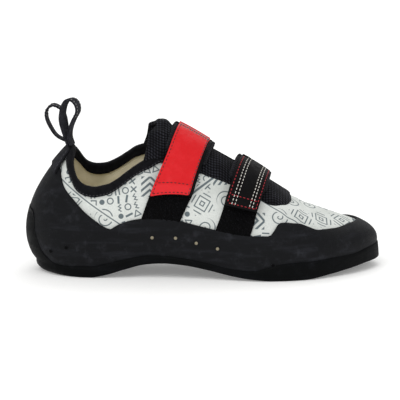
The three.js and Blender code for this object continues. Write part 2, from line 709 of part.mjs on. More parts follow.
// Webbing loop along its centre line, its width turned about the upright
function makeLoop(rows) {
  const crest = skin(0, edgeShare(0), 0);
  const points = rows.map((row) => new THREE.Vector3(
    crest.x - HEEL_HEIGHT * row.back, HEEL_HEIGHT * row.across, crest.z + HEEL_HEIGHT * row.up));
  const path = new THREE.CatmullRomCurve3(points, false, 'centripetal');
  const sections = steps(27, 0, 1).map((share) => {
    const place = path.getPointAt(share);
    const ahead = path.getTangentAt(share);
    const turn = THREE.MathUtils.degToRad(rows[Math.round(share * (rows.length - 1))].turn);
    const wide = new THREE.Vector3(Math.sin(turn), Math.cos(turn), 0);
    const thin = new THREE.Vector3().crossVectors(ahead, wide).normalize();
    const corner = (w, t) => place.clone()
      .addScaledVector(wide, (w * WEBBING_WIDTH) / 2)
      .addScaledVector(thin, (t * WEBBING) / 2);
    return [corner(-1, -1), corner(1, -1), corner(1, 1), corner(-1, 1)];
  });
  return loft(sections);
}

function addPiece(group, name, geometry, color, roughness) {
  const material = new THREE.MeshStandardMaterial({ color, roughness, metalness: 0 });
  const mesh = new THREE.Mesh(geometry, material);
  mesh.name = name;
  group.add(mesh);
}

const shoe = new THREE.Group();
addPiece(shoe, 'outsole', makeOutsole(), 0x1b1c1f, 0.7);
addPiece(shoe, 'insole', makeInsole(), 0xbdb596, 0.9);
addPiece(shoe, 'upper', makeUpper(), 0xe3e7e2, 0.8);
addPiece(shoe, 'rand', makeRand(), 0x232428, 0.65);
addPiece(shoe, 'tongue', makeTongue(), 0x1a1b1f, 0.95);
addPiece(shoe, 'collar_binding', makeBinding(), 0x1a1a20, 0.85);
addPiece(shoe, 'heel_tab', makeHeelTab(), 0x1f1f24, 0.9);
addPiece(shoe, 'pull_loop_rear', makeLoop(LOOP_REAR), 0x1c1c22, 0.85);
addPiece(shoe, 'pull_loop_front', makeLoop(LOOP_FRONT), 0x1c1c22, 0.85);
addPiece(shoe, 'loop_patch_rear', makePatch(BAND_REAR, STRETCH.patch_rear), 0x060607, 0.95);
addPiece(shoe, 'loop_patch_front', makePatch(BAND_FRONT, STRETCH.patch_front), 0x060607, 0.95);
addPiece(shoe, 'strap_base_rear', makeBase(BAND_REAR, BASE_WALL_REAR), 0x0c0c0e, 0.9);
addPiece(shoe, 'strap_base_front', makeBase(BAND_FRONT, BASE_WALL_FRONT), 0x0c0c0e, 0.9);
addPiece(shoe, 'strap_rear', makeStrap(BAND_REAR, STRETCH.strap_rear, BASE_WALL_REAR), 0xe5202b, 0.6);
addPiece(shoe, 'strap_front', makeStrap(BAND_FRONT, STRETCH.strap_front, BASE_WALL_FRONT), 0x17171a, 0.6);

// Origin under the middle of the whole shoe, on the floor
const extent = new THREE.Box3().setFromObject(shoe);
const middle = extent.getCenter(new THREE.Vector3());
shoe.position.set(-middle.x, -middle.y, -extent.min.z);

export default shoe;
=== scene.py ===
import math
import random
from functools import partial

import bmesh
import bpy
import numpy as np
from mathutils import Matrix, Vector


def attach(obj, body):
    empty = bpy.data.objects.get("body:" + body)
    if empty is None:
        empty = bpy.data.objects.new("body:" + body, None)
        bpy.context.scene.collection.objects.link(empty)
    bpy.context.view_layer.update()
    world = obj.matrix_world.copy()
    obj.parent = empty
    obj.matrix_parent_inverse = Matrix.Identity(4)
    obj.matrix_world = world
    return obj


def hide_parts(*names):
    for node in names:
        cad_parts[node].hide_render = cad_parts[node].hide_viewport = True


# Right climbing shoe, toe to +X, lateral side to -Y, +Z up. The last is worked out in millimetres.

bl_info = {
    "name": "Climbing shoe",
    "version": (1, 0, 0),
    "blender": (4, 5, 0),
    "location": "3D View > Sidebar > Shoe",
    "description": "Dresses the climbing shoe piece by piece on its solid model",
    "category": "Add Mesh",
}

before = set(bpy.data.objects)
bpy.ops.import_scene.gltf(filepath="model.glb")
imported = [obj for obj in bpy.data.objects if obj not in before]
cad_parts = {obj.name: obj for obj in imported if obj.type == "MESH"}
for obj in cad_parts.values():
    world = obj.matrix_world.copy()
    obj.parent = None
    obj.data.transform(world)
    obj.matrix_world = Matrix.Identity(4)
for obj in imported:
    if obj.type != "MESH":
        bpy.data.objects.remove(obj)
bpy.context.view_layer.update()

# The last
MM = 0.001
ORIGIN_SHIFT = np.array([-0.08, -0.13, 0.0])
SHOE_LENGTH = 260
BALL_WIDTH = 95
INSTEP_HEIGHT = 113
HEEL_HEIGHT = 93
ARCH_RISE = 10.8
TOE_SPRING = 6.3
HEEL_OVERHANG = 11.5
TOE_OVERHANG = 4
GAP = 0.3
UPPER_WALL = 2.0
RAND_WALL = 1.8
SOLE_LIP = 1.6
SOLE_SIDE = 12
SOLE_FLOOR = 5
SOLE_RIM = 1.5
LIP_HEIGHT = 0.8
HEEL_STRIP_HEIGHT = 38
INSOLE_INSET = 6
TONGUE_WALL = 2.6
TONGUE_RISE = 0.8
TAPE = 1.2
TAPE_DEPTH = 6.5
RAND_STOP = 1
TAB_WALL = 1.2
PATCH_WALL = 1.4
STRAP_WALL = 1.8
BASE_WALL_REAR = 2.2
BASE_WALL_FRONT = 3.8
BASE_EDGE = 2.4
WEBBING = 1.3
WEBBING_WIDTH = 9
SEAM_LENGTH = SHOE_LENGTH - HEEL_OVERHANG - TOE_OVERHANG
SEAM_REAR = -SHOE_LENGTH / 2 + HEEL_OVERHANG
FULL_TURN = math.tau
LATERAL = -1
MEDIAL = 1


def columns(names, *rows):
    """Table with a name for each column."""
    return {name: np.array(values, float) for name, values in zip(names.split(), zip(*rows))}


OUTLINE = columns(
    "at centre half",
    (0, 0, .52), (.045, -.005, .515), (.107, -.01, .46), (.231, -.016, .362), (.355, -.037, .3),
    (.479, -.053, .316), (.603, -.047, .395), (.686, -.021, .468), (.769, .016, .521),
    (.851, .063, .542), (.913, .105, .537), (.967, .153, .537), (1, .179, .526))
SOLE = columns(
    "at arch toe side floor",
    (0, 0, 0, .667, 1), (.06, 0, 0, .6, .96), (.15, 0, 0, .62, .96), (.198, .185, 0, .633, .9),
    (.252, .555, 0, .567, .9), (.314, .905, 0, .483, .88), (.376, 1, 0, .4, .76),
    (.434, .915, 0, .36, .7), (.504, .63, 0, .345, .68), (.579, .28, 0, .367, .74),
    (.636, .09, 0, .467, .94), (.69, 0, 0, .83, 1), (.731, 0, 0, 1, 1), (.79, 0, 0, 1.05, 1),
    (.868, 0, .36, .93, .96), (.905, 0, .59, .82, .96), (.942, 0, .84, .72, .94),
    (.967, 0, .98, .77, .94), (1, 0, 1, .85, .94))
RIDGE = columns(
    "at height across",
    (.12, 1.06, 0), (.2, 1.15, 0), (.27, 1.09, 0), (.34, 1, 0), (.41, .922, -.005),
    (.5, .81, -.01), (.57, .724, -.01), (.626, .652, 0), (.686, .566, .01), (.745, .474, .03))
RIDGE_REAR, RIDGE_FRONT, RIDGE_BLEND = .17, .715, .035
GIRTH = columns(
    "at bulge rise shoulder",
    (0, .215, .27, .44), (.05, .165, .26, .37), (.107, .1, .25, .31), (.231, .074, .27, .3),
    (.355, .063, .265, .275), (.479, .053, .24, .235), (.603, .037, .21, .23),
    (.686, .022, .18, .25), (.769, .022, .165, .29), (.851, .026, .165, .285),
    (.913, .03, .164, .295), (1, .06, .16, .31))
EDGE = columns(
    "at lateral medial",
    (0, .99, .99), (.02, .975, .978), (.04, .945, .962), (.058, .9, .948), (.074, .853, .93),
    (.088, .808, .908), (.1, .77, .885), (.117, .736, .845), (.14, .709, .793),
    (.17, .692, .757), (.2, .692, .745), (.23, .711, .758), (.258, .741, .782), (.291, .77, .81),
    (.315, .783, .812), (.335, .782, .805), (.37, .76, .775), (.42, .72, .73), (.479, .672, .68),
    (.506, .65, .656), (.561, .604, .61), (.61, .552, .556), (.672, .491, .495), (.7, .476, .48),
    (.731, .468, .473), (.766, .466, .471), (.814, .47, .475), (.9, .476, .48), (1, .485, .485))
RAND_TOP = columns(
    "at lateral medial",
    (0, .86, .86), (.03, .835, .835), (.045, .79, .79), (.057, .745, .745), (.07, .698, .698),
    (.083, .661, .661), (.097, .626, .626), (.114, .583, .588), (.13, .538, .545),
    (.15, .488, .497), (.17, .442, .453), (.192, .396, .41), (.212, .369, .395),
    (.226, .385, .41), (.24, .398, .42), (.284, .41, .435), (.34, .4, .425), (.42, .378, .4),
    (.45, .362, .385), (.51, .33, .35), (.6, .294, .31), (.633, .286, .3), (.68, .284, .297),
    (.695, .296, .305), (.708, .336, .34), (.722, .362, .364), (.74, .362, .364),
    (.764, .355, .36), (.794, .346, .35), (.82, .325, .33), (.85, .3, .31), (.89, .294, .3),
    (.93, .289, .293), (.975, .295, .295), (1, .295, .295))
HEEL_STRIP = columns(
    "at rise",
    (0, 1), (.009, .97), (.0145, .86), (.0191, .62), (.0263, .38), (.0327, .21), (.0577, .02),
    (.08, 0), (1, 0))
BAND_REAR = columns(
    "down rear front",
    (-1, .303, .42), (-.83, .327, .444), (-.76, .337, .454), (-.62, .358, .466),
    (-.48, .376, .477), (-.3, .391, .49), (-.14, .401, .499), (0, .407, .506), (.3, .396, .499),
    (.65, .374, .478), (1, .35, .456))
BAND_FRONT = columns(
    "down rear front",
    (-1, .525, .629), (-.88, .538, .639), (-.755, .549, .647), (-.6, .559, .657),
    (-.47, .567, .665), (-.3, .576, .672), (-.12, .585, .679), (0, .591, .683), (.3, .586, .68),
    (.65, .576, .673), (1, .565, .665))
LOOP_REAR = columns(
    "back up across turn",
    (.05, .03, .055, 0), (.12, .07, .055, 4), (.17, .14, .055, 8), (.202, .22, .055, 10),
    (.198, .28, .055, 10), (.155, .315, .055, 8), (.1, .295, .055, 6), (.06, .24, .055, 4),
    (.038, .14, .055, 2), (.035, .05, .055, 0), (.027, .03, .055, 0))
LOOP_FRONT = columns(
    "back up across turn",
    (.026, .02, -.06, 20), (.046, .087, -.06, 24), (.066, .154, -.06, 27), (.079, .222, -.06, 30),
    (.074, .288, -.06, 32), (.06, .342, -.06, 32), (.03, .382, -.06, 32), (-.008, .378, -.06, 28),
    (-.038, .342, -.06, 24), (-.045, .288, -.06, 22), (-.014, .222, -.06, 22),
    (.012, .154, -.06, 22), (.019, .087, -.06, 22), (0, .02, -.06, 22))


def curve(rows, column, key="at"):
    """Smooth curve through one column, flat at its peaks, so that it never overshoots."""
    xs, ys = rows[key], rows[column]
    steps = np.diff(ys) / np.diff(xs)
    before, after = steps[:-1], steps[1:]
    total = np.where(before + after == 0, 1, before + after)
    middle = np.where(before * after <= 0, 0, 2 * before * after / total)
    slopes = np.concatenate(([steps[0]], middle, [steps[-1]]))

    def value(x):
        inside = np.clip(x, xs[0], xs[-1])
        i = np.clip(np.searchsorted(xs, inside) - 1, 0, len(xs) - 2)
        width = xs[i + 1] - xs[i]
        u = (inside - xs[i]) / width
        rise = ys[i + 1] - ys[i]
        start = slopes[i] * width - rise
        end = rise - slopes[i + 1] * width
        return ys[i] + rise * u + u * (1 - u) * ((1 - u) * start + u * end)

    return value


def smooth(low, high, x):
    u = np.clip((np.asarray(x, float) - low) / (high - low), 0, 1)
    return u * u * (3 - 2 * u)


def mix(a, b, share):
    return a + (b - a) * share


def unit(v):
    return v / np.maximum(np.linalg.norm(v, axis=-1, keepdims=True), 1e-12)


centre_line, half_width = curve(OUTLINE, "centre"), curve(OUTLINE, "half")
arch_share, toe_share = curve(SOLE, "arch"), curve(SOLE, "toe")
side_share, floor_share = curve(SOLE, "side"), curve(SOLE, "floor")
ridge_height, ridge_across = curve(RIDGE, "height"), curve(RIDGE, "across")
bulge, rise, shoulder = curve(GIRTH, "bulge"), curve(GIRTH, "rise"), curve(GIRTH, "shoulder")
strip_rise = curve(HEEL_STRIP, "rise")
edge_sides = curve(EDGE, "lateral"), curve(EDGE, "medial")
rand_sides = curve(RAND_TOP, "lateral"), curve(RAND_TOP, "medial")


def local_height(at):
    return mix(HEEL_HEIGHT, INSTEP_HEIGHT, smooth(.1, .4, at))


def underside(at):
    return ARCH_RISE * arch_share(at) + TOE_SPRING * toe_share(at)


def seam_height(at):
    return underside(at) + SOLE_SIDE * side_share(at)


def floor_height(at):
    return underside(at) + SOLE_FLOOR * floor_share(at)


def share_at(angle):
    return (1 - np.cos(angle)) / 2


def angle_of(share, side):
    angle = np.arccos(np.clip(1 - 2 * np.asarray(share, float), -1, 1))
    return np.where(np.asarray(side) < 0, angle, FULL_TURN - angle)


def xyz(x, y, z):
    return np.stack(np.broadcast_arrays(x, y, z), axis=-1).astype(float)


def seam_point(angle):
    at = share_at(angle)
    y = BALL_WIDTH * (centre_line(at) - half_width(at) * np.sin(angle))
    return xyz(SEAM_REAR + SEAM_LENGTH * at, y, seam_height(at) + GAP)


def ridge_share(angle):
    at = share_at(angle)

    def soft(x):
        return RIDGE_BLEND * np.log1p(np.exp(x / RIDGE_BLEND))

    return RIDGE_REAR + soft(at - RIDGE_REAR) - soft(at - RIDGE_FRONT)


def ridge_point(share):
    z = local_height(share) * ridge_height(share)
    return xyz(SEAM_REAR + SEAM_LENGTH * share, BALL_WIDTH * ridge_across(share), z)


def ridge_slope(share):
    step = .01
    return (ridge_point(share + step)[..., 2] - ridge_point(share - step)[..., 2]) / (
        2 * step * SEAM_LENGTH)


def last_point(angle, height):
    """Surface of the last: height runs from 0 on the seam to 1 on the ridge."""
    angle, height = np.broadcast_arrays(np.asarray(angle, float), np.asarray(height, float))
    at, share = share_at(angle), ridge_share(angle)
    seam, ridge = seam_point(angle), ridge_point(share)
    outward = unit((seam - ridge) * (1, 1, 0))
    low = seam + outward * (BALL_WIDTH * bulge(at))[..., None]
    low[..., 2] += local_height(at) * rise(at)
    reach = BALL_WIDTH * shoulder(at)
    high = ridge + outward * reach[..., None]
    high[..., 2] += ridge_slope(share) * outward[..., 0] * reach
    h = height[..., None]
    rest = 1 - h
    return seam * rest**3 + low * 3 * rest**2 * h + high * 3 * rest * h**2 + ridge * h**3


def last_normal(angle, height):
    """Outward direction, turned level at the seam and straight up from the ridge line."""
    step = .002
    angle, height = np.broadcast_arrays(np.asarray(angle, float), np.asarray(height, float))
    along = last_point(angle + step, height) - last_point(angle - step, height)
    low = np.maximum(height - step, 0)
    up = last_point(angle, height + step) - last_point(angle, low)
    normal = unit(np.cross(up, along))
    ahead = seam_point(angle + step) - seam_point(angle - step)
    level = unit(xyz(ahead[..., 1], -ahead[..., 0], 0))
    turned = np.sum(normal * level, axis=-1, keepdims=True) < 0
    normal = np.where(turned, -normal, normal)
    blended = unit(mix(level, normal, smooth(0, .12, height)[..., None]))
    top = unit(xyz(-ridge_slope(ridge_share(angle)), 0, 1))
    return np.where((height > 1 - step)[..., None], top, blended)


def skin(angle, height, offset):
    return last_point(angle, height) + last_normal(angle, height) * np.asarray(offset, float)[..., None]


def height_share(angle, z):
    """Share of the way up at which the last reaches a height in millimetres."""
    low, high = np.zeros(np.shape(angle)), np.ones(np.shape(angle))
    for _ in range(26):
        middle = (low + high) / 2
        under = last_point(angle, middle)[..., 2] < z
        low, high = np.where(under, middle, low), np.where(under, high, middle)
    return (low + high) / 2


def pace(angle, height):
    """Millimetres along the last for one whole share of height."""
    step = .01
    return np.linalg.norm(last_point(angle, height) - last_point(angle, height - step), axis=-1) / step


def climb(angle, height, length):
    return height + length / pace(angle, height)


def side_curve(sides, angle):
    at = share_at(angle)
    side = np.where(np.sin(angle) >= 0, sides[0](at), sides[1](at))
    return height_share(angle, local_height(at) * side)


def edge_share(angle):
    return side_curve(edge_sides, angle)


def tape_share(angle):
    return climb(angle, edge_share(angle), -TAPE_DEPTH)


def rand_share(angle):
    return np.minimum(side_curve(rand_sides, angle), climb(angle, tape_share(angle), -RAND_STOP))


def lip_share(angle):
    at = share_at(angle)
    return height_share(
        angle, seam_height(at) + GAP + LIP_HEIGHT + HEEL_STRIP_HEIGHT * strip_rise(at))


def foot_point(share, down, offset):
    """Point over the foot by share of the length and share of the way from ridge to rand."""
    share, down = np.broadcast_arrays(share, down)
    angle = angle_of(share, down)
    lowest = climb(angle, rand_share(angle), GAP)
    return skin(angle, mix(1, lowest, np.abs(down)), offset)


# Mesh and material helpers
def sheet(points, uv=None, inner_from=None):
    """Grid on points[i, j] with its map in millimetres; columns after inner_from take material 1."""
    rows, cols = points.shape[:2]
    if uv is None:
        along = np.linalg.norm(np.diff(points, axis=0), axis=-1).mean(axis=1)
        across = np.linalg.norm(np.diff(points, axis=1), axis=-1)
        u = np.concatenate(([0], np.cumsum(along)))[:, None] + np.zeros((1, cols))
        v = np.concatenate((np.zeros((rows, 1)), np.cumsum(across, axis=1)), axis=1)
        uv = np.stack((u, v), axis=-1)
    bm = bmesh.new()
    bmesh.ops.create_grid(bm, x_segments=rows - 1, y_segments=cols - 1, size=1)
    bm.verts.ensure_lookup_table()
    place = [(round((v.co.x + 1) / 2 * (rows - 1)), round((v.co.y + 1) / 2 * (cols - 1)))
             for v in bm.verts]
    layer = bm.loops.layers.uv.new("UVMap")
    for face in bm.faces:
        face.smooth = True
        column = min(place[vert.index][1] for vert in face.verts)
        face.material_index = int(inner_from is not None and column >= inner_from)
        for loop in face.loops:
            loop[layer].uv = uv[place[loop.vert.index]]
    for vert, spot in zip(bm.verts, place):
        vert.co = Vector((points[spot] + ORIGIN_SHIFT) * MM)
    return bm


def close(bm, nearness=2e-6):
    """Merge what meets, drop what has no area and turn the faces outwards."""
    bmesh.ops.remove_doubles(bm, verts=bm.verts, dist=nearness)
    bmesh.ops.dissolve_degenerate(bm, edges=bm.edges, dist=1e-7)
    bmesh.ops.recalc_face_normals(bm, faces=bm.faces)
    return bm


def capped(points):
    """Closed sheet whose open ends are filled."""
    bm = sheet(points)
    bmesh.ops.remove_doubles(bm, verts=bm.verts, dist=2e-6)
    bmesh.ops.holes_fill(bm, edges=[e for e in bm.edges if e.is_boundary], sides=0)
    return close(bm)


def piece(name, bm, keys, replaced=()):
    """Object at the origin that rides on the shoe's one body."""
    mesh = bpy.data.meshes.new(name)
    bm.to_mesh(mesh)
    bm.free()
    made = bpy.data.objects.new(name, mesh)
    bpy.context.scene.collection.objects.link(made)
    for key in keys.split():
        mesh.materials.append(finish(key))
    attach(made, "root")
    if replaced:
        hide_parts(*replaced)
    return made


def linear(code):
    """Linear colour of an sRGB hex value."""
    parts = [int(code[i:i + 2], 16) / 255 for i in (1, 3, 5)]
    return [p / 12.92 if p <= .04045 else ((p + .055) / 1.055) ** 2.4 for p in parts]


def colour(code):
    return (*linear(code), 1)


def node(tree, kind, inputs=(), out=0, **settings):
    """Add a node with its settings, fill or link its inputs, and give back one output.

    A second word after the kind is the node's operation."""
    kind, *operation = kind.split()
    made = tree.nodes.new("ShaderNode" + kind)
    for name in operation:
        made.operation = name
    for name, value in settings.items():
        setattr(made, name, value)
    for key, value in inputs.items() if isinstance(inputs, dict) else enumerate(inputs):
        if isinstance(value, bpy.types.NodeSocket):
            tree.links.new(value, made.inputs[key])
        elif value is not None:
            made.inputs[key].default_value = value
    return made.outputs[out] if made.outputs else None


def surface(name, colour_in, roughness, height=None, depth=.0003, **sockets):
    """Principled material; colour and roughness may be sockets made by the caller's function."""
    made = bpy.data.materials.new(name)
    made.use_nodes = True
    tree = made.node_tree
    tree.nodes.clear()
    values = {"Base Color": colour_in(tree) if callable(colour_in) else colour_in,
              "Roughness": roughness(tree) if callable(roughness) else roughness}
    if height:
        values["Normal"] = node(tree, "Bump", {"Distance": depth, "Height": height(tree)})
    values["Specular IOR Level"] = .1
    values.update(sockets)
    shader = node(tree, "BsdfPrincipled", values)
    node(tree, "OutputMaterial", {"Surface": shader})
    return made


# Colours and sizes a user may change
def tone(name, code, description):
    return bpy.props.FloatVectorProperty(
        name=name, description=description, subtype="COLOR", size=4, min=0, max=1,
        default=colour(code))


class ShoeColours(bpy.types.PropertyGroup):
    """Colours of the shoe's finishes."""
    rand: tone("Rand", "#0C0D10", "Rubber band round the foot")
    sole: tone("Sole", "#050607", "Rubber of the sole")
    cloth: tone("Cloth", "#DEE1DD", "Ground of the printed textile")
    ink: tone("Ink", "#667074", "Thin lines printed on the textile")
    lining: tone("Lining", "#F7EED2", "Brushed textile inside")
    knit: tone("Knit", "#060609", "Mesh knit of the tongue")
    tape: tone("Tape", "#050509", "Folded tape round the collar")
    webbing: tone("Webbing", "#0A0A0F", "Pull loops and heel patch")
    pile: tone("Loop pile", "#040405", "Fuzzy patches under the straps")
    red: tone("Red strap", "#D40612", "Coated strap over the instep")
    black: tone("Black strap", "#010102", "Coated strap over the toes")
    white_thread: tone("White thread", "#D9D5CC", "Double rows on the black strap")
    red_thread: tone("Red thread", "#A51C27", "Outer rows on the black strap")
    dark_thread: tone("Dark thread", "#3A0A10", "Rows on the red strap")
    floor: tone("Floor", "#F4F4F3", "Pale studio floor")


def size(name, default, description, low=0.0, high=50.0):
    return bpy.props.FloatProperty(
        name=name, description=description + ", in millimetres", default=default,
        min=low, max=high, precision=2)


class ShoeSizes(bpy.types.PropertyGroup):
    """Small sizes of the shoe's details."""
    crease: size("Crease depth", 0.7, "Depth of the deepest soft fold in the upper", high=2)
    stitch: size("Stitch length", 1.9, "Length of one stitch")
    pitch: size("Stitch pitch", 2.9, "Distance from one stitch to the next", low=1)
    thread: size("Thread radius", 0.32, "Radius of the sewing thread", low=.05, high=1)
    inset: size("Seam inset", 1.5, "Distance of a seam from its edge")
    pinhole: size("Pinhole radius", 1.3, "Radius of the vent holes in the rand", low=.2, high=3)


# Materials
def object_mm(tree):
    """Object coordinates in millimetres."""
    place = node(tree, "TexCoord", out="Object")
    return node(tree, "VectorMath", {0: place, 3: 1000.0}, operation="SCALE")


# Settings of a remapping that is smooth at both ends, and of a mix of two colours
SOFT_STEP = {"interpolation_type": "SMOOTHSTEP"}
COLOUR_MIX = {"data_type": "RGBA", "out": 2}


def rubber(name, base, dust, gloss, shine):
    """Moulded climbing rubber: dull black with a soft sheen, faint rubbed streaks and chalk dust."""
    def streaks(tree):
        place = node(tree, "Mapping", {0: object_mm(tree), 3: (.028, .06, .2)})
        return node(tree, "TexNoise",
            {"Vector": place, "Scale": 1.0, "Detail": 5, "Roughness": .6})

    def shade(tree):
        spots = node(tree, "TexNoise",
            {"Vector": object_mm(tree), "Scale": .11, "Detail": 6, "Roughness": .7})
        worn = node(tree, "MapRange", {0: streaks(tree), 1: .45, 2: .8, 3: 0.0, 4: .4},
                    **SOFT_STEP)
        spotted = node(tree, "MapRange", {0: spots, 1: .5, 2: .75, 3: 0.0, 4: .4}, **SOFT_STEP)
        dusty = node(tree, "Math ADD", (worn, spotted))
        return node(tree, "Mix", {0: dusty, 6: base, 7: dust}, **COLOUR_MIX)

    def rough(tree):
        return node(tree, "MapRange", {0: streaks(tree), 1: .3, 2: .75, 3: gloss, 4: gloss + .2},
            **SOFT_STEP)

    def grain(tree):
        fine = node(tree, "TexNoise", {"Vector": object_mm(tree), "Scale": 1.6, "Detail": 3})
        broad = node(tree, "TexNoise", {"Vector": object_mm(tree), "Scale": .07, "Detail": 2})
        return node(tree, "Math MULTIPLY_ADD", (broad, 3.0, fine))

    return surface(name, shade, rough, grain, depth=.00022, **{"Specular IOR Level": shine})


def woven(name, base, light, pitch, rough=.85, depth=.00025, twill=1.0, sheen=.03):
    """Narrow woven goods: ribs of yarn across the band, a little lighter on their crowns."""
    def ribs(tree):
        flat = node(tree, "TexCoord", out="UV")
        u, v = (node(tree, "SeparateXYZ", (flat,), out=k) for k in (0, 1))
        lean = node(tree, "Math MULTIPLY_ADD", (v, twill, u))
        wave = node(tree, "Math MULTIPLY", (lean, math.tau / pitch))
        other = node(tree, "Math MULTIPLY", (v, math.tau / pitch))
        a = node(tree, "Math MULTIPLY_ADD", (node(tree, "Math SINE", (wave,)), .5, .5))
        b = node(tree, "Math MULTIPLY_ADD", (node(tree, "Math SINE", (other,)), .25, .25))
        return node(tree, "Math ADD", (a, b))

    def shade(tree):
        patchy = node(tree, "TexNoise", {"Vector": object_mm(tree), "Scale": .35, "Detail": 4})
        faded = node(tree, "MapRange", {0: patchy, 1: .3, 2: .7, 3: .2, 4: .8}, **SOFT_STEP)
        # Rib crowns painted lighter: a painted highlight.
        crown_highlight = node(tree, "Math MULTIPLY", (ribs(tree), faded))
        return node(tree, "Mix", {0: crown_highlight, 6: base, 7: light}, **COLOUR_MIX)

    return surface(name, shade, rough, ribs, depth,
        **{"Sheen Weight": sheen, "Sheen Roughness": .5})


# Slanted distance in millimetres between the rows of diamonds
DIAMOND = 4.2


def knit_mesh(name, base, light):
    """Warp-knit mesh: rows of small diamonds between rounded yarns, with darker bands of wave."""
    def diamonds(tree):
        flat = node(tree, "TexCoord", out="UV")
        u, v = (node(tree, "SeparateXYZ", (flat,), out=k) for k in (0, 1))
        bend = node(tree, "Math SINE", (node(tree, "Math MULTIPLY", (u, .32)),))
        across = node(tree, "Math MULTIPLY_ADD", (bend, 1.4, v))
        one = node(tree, "Math ADD", (u, across))
        two = node(tree, "Math SUBTRACT", (u, across))
        turns = [node(tree, "Math MULTIPLY", (k, math.tau / DIAMOND)) for k in (one, two)]
        waves = [node(tree, "Math SINE", (turn,)) for turn in turns]
        crossed = node(tree, "Math MULTIPLY", waves)
        return node(tree, "MapRange", {0: crossed, 1: -.3, 2: .75, 3: 0.0, 4: 1.0}, **SOFT_STEP)

    def shade(tree):
        cloudy = node(tree, "TexNoise", {"Vector": object_mm(tree), "Scale": .12, "Detail": 3})
        faded = node(tree, "MapRange", {0: cloudy, 1: .3, 2: .7, 3: .35, 4: 1.0}, **SOFT_STEP)
        # The raised yarn is painted lighter than the holes: a painted highlight.
        yarn = node(tree, "Math MULTIPLY", (diamonds(tree), faded))
        return node(tree, "Mix", {0: yarn, 6: base, 7: light}, **COLOUR_MIX)

    return surface(name, shade, .9, diamonds, depth=.0007,
        **{"Sheen Weight": .03, "Sheen Roughness": .5})


def brushed(name, base, stain):
    """Brushed microfibre lining: matt nap with a few darker, handled patches."""
    def shade(tree):
        patches = node(tree, "TexNoise", {"Vector": object_mm(tree), "Scale": .045, "Detail": 4})
        handled = node(tree, "MapRange", {0: patches, 1: .42, 2: .68, 3: 0.0, 4: .75},
                       **SOFT_STEP)
        return node(tree, "Mix", {0: handled, 6: base, 7: stain}, **COLOUR_MIX)

    def nap(tree):
        return node(tree, "TexNoise", {"Vector": object_mm(tree), "Scale": 1.4, "Detail": 5})

    return surface(name, shade, .95, nap, depth=.0003, **{"Sheen Weight": .1})


def pile(name, base, light):
    """Looped pile: a deep black tangle whose loop tips catch a little light."""
    def tangle(tree):
        cells = node(tree, "TexVoronoi",
            {"Vector": object_mm(tree), "Scale": .75, "Randomness": 1})
        fuzz = node(tree, "TexNoise",
            {"Vector": object_mm(tree), "Scale": 1.1, "Detail": 6, "Roughness": .8})
        return node(tree, "Math SUBTRACT", (fuzz, cells))

    def shade(tree):
        tips = node(tree, "MapRange", {0: tangle(tree), 1: .05, 2: .6, 3: 0.0, 4: 1.0},
                    **SOFT_STEP)
        return node(tree, "Mix", {0: tips, 6: base, 7: light}, **COLOUR_MIX)

    return surface(name, shade, .95, tangle, depth=.0012, **{"Specular IOR Level": .1})


def coated(name, base, rubbed, gloss, shine, lighter_end, bump=.0002):
    """Coated microfibre: smooth plastic film with shallow dents and lightly rubbed places."""
    def dents(tree):
        broad = node(tree, "TexNoise", {"Vector": object_mm(tree), "Scale": .12, "Detail": 3})
        fine = node(tree, "TexNoise", {"Vector": object_mm(tree), "Scale": 1.8, "Detail": 2})
        return node(tree, "Math MULTIPLY_ADD", (broad, 4.0, fine))

    def shade(tree):
        spots = node(tree, "TexNoise",
            {"Vector": object_mm(tree), "Scale": .1, "Detail": 6, "Roughness": .7})
        length = node(tree, "SeparateXYZ", (node(tree, "TexCoord", out="UV"),))
        # The rubbed colour also lightens the last millimetres at the strap's lower end.
        end = node(tree, "MapRange", {0: length, 1: 7.0, 2: 10.0, 3: lighter_end, 4: 0.0},
            **SOFT_STEP)
        rubs = node(tree, "MapRange", {0: spots, 1: .45, 2: .75, 3: 0.0, 4: .4}, **SOFT_STEP)
        rubs_and_lighter_end = node(tree, "Math MAXIMUM", (end, rubs))
        return node(tree, "Mix", {0: rubs_and_lighter_end, 6: base, 7: rubbed}, **COLOUR_MIX)

    def rough(tree):
        spots = node(tree, "TexNoise", {"Vector": object_mm(tree), "Scale": .2, "Detail": 4})
        return node(tree, "MapRange", {0: spots, 1: .3, 2: .7, 3: gloss, 4: gloss + .18},
            **SOFT_STEP)

    return surface(name, shade, rough, dents, bump,
        **{"Specular IOR Level": shine, "Coat Weight": shine / 10, "Coat Roughness": .35})


def thread(name, base):
    """Bonded polyester thread: each stitch a small, slightly glossy bead."""
    return surface(name, base, .55, **{"Specular IOR Level": .4})


BLOCK = 18.0
CELL = BLOCK / 3
THIN, THICK = .42, .78
EDGE_SOFT = .12
LARGE_SHARE = .68
LINE_MARGIN = 1.3


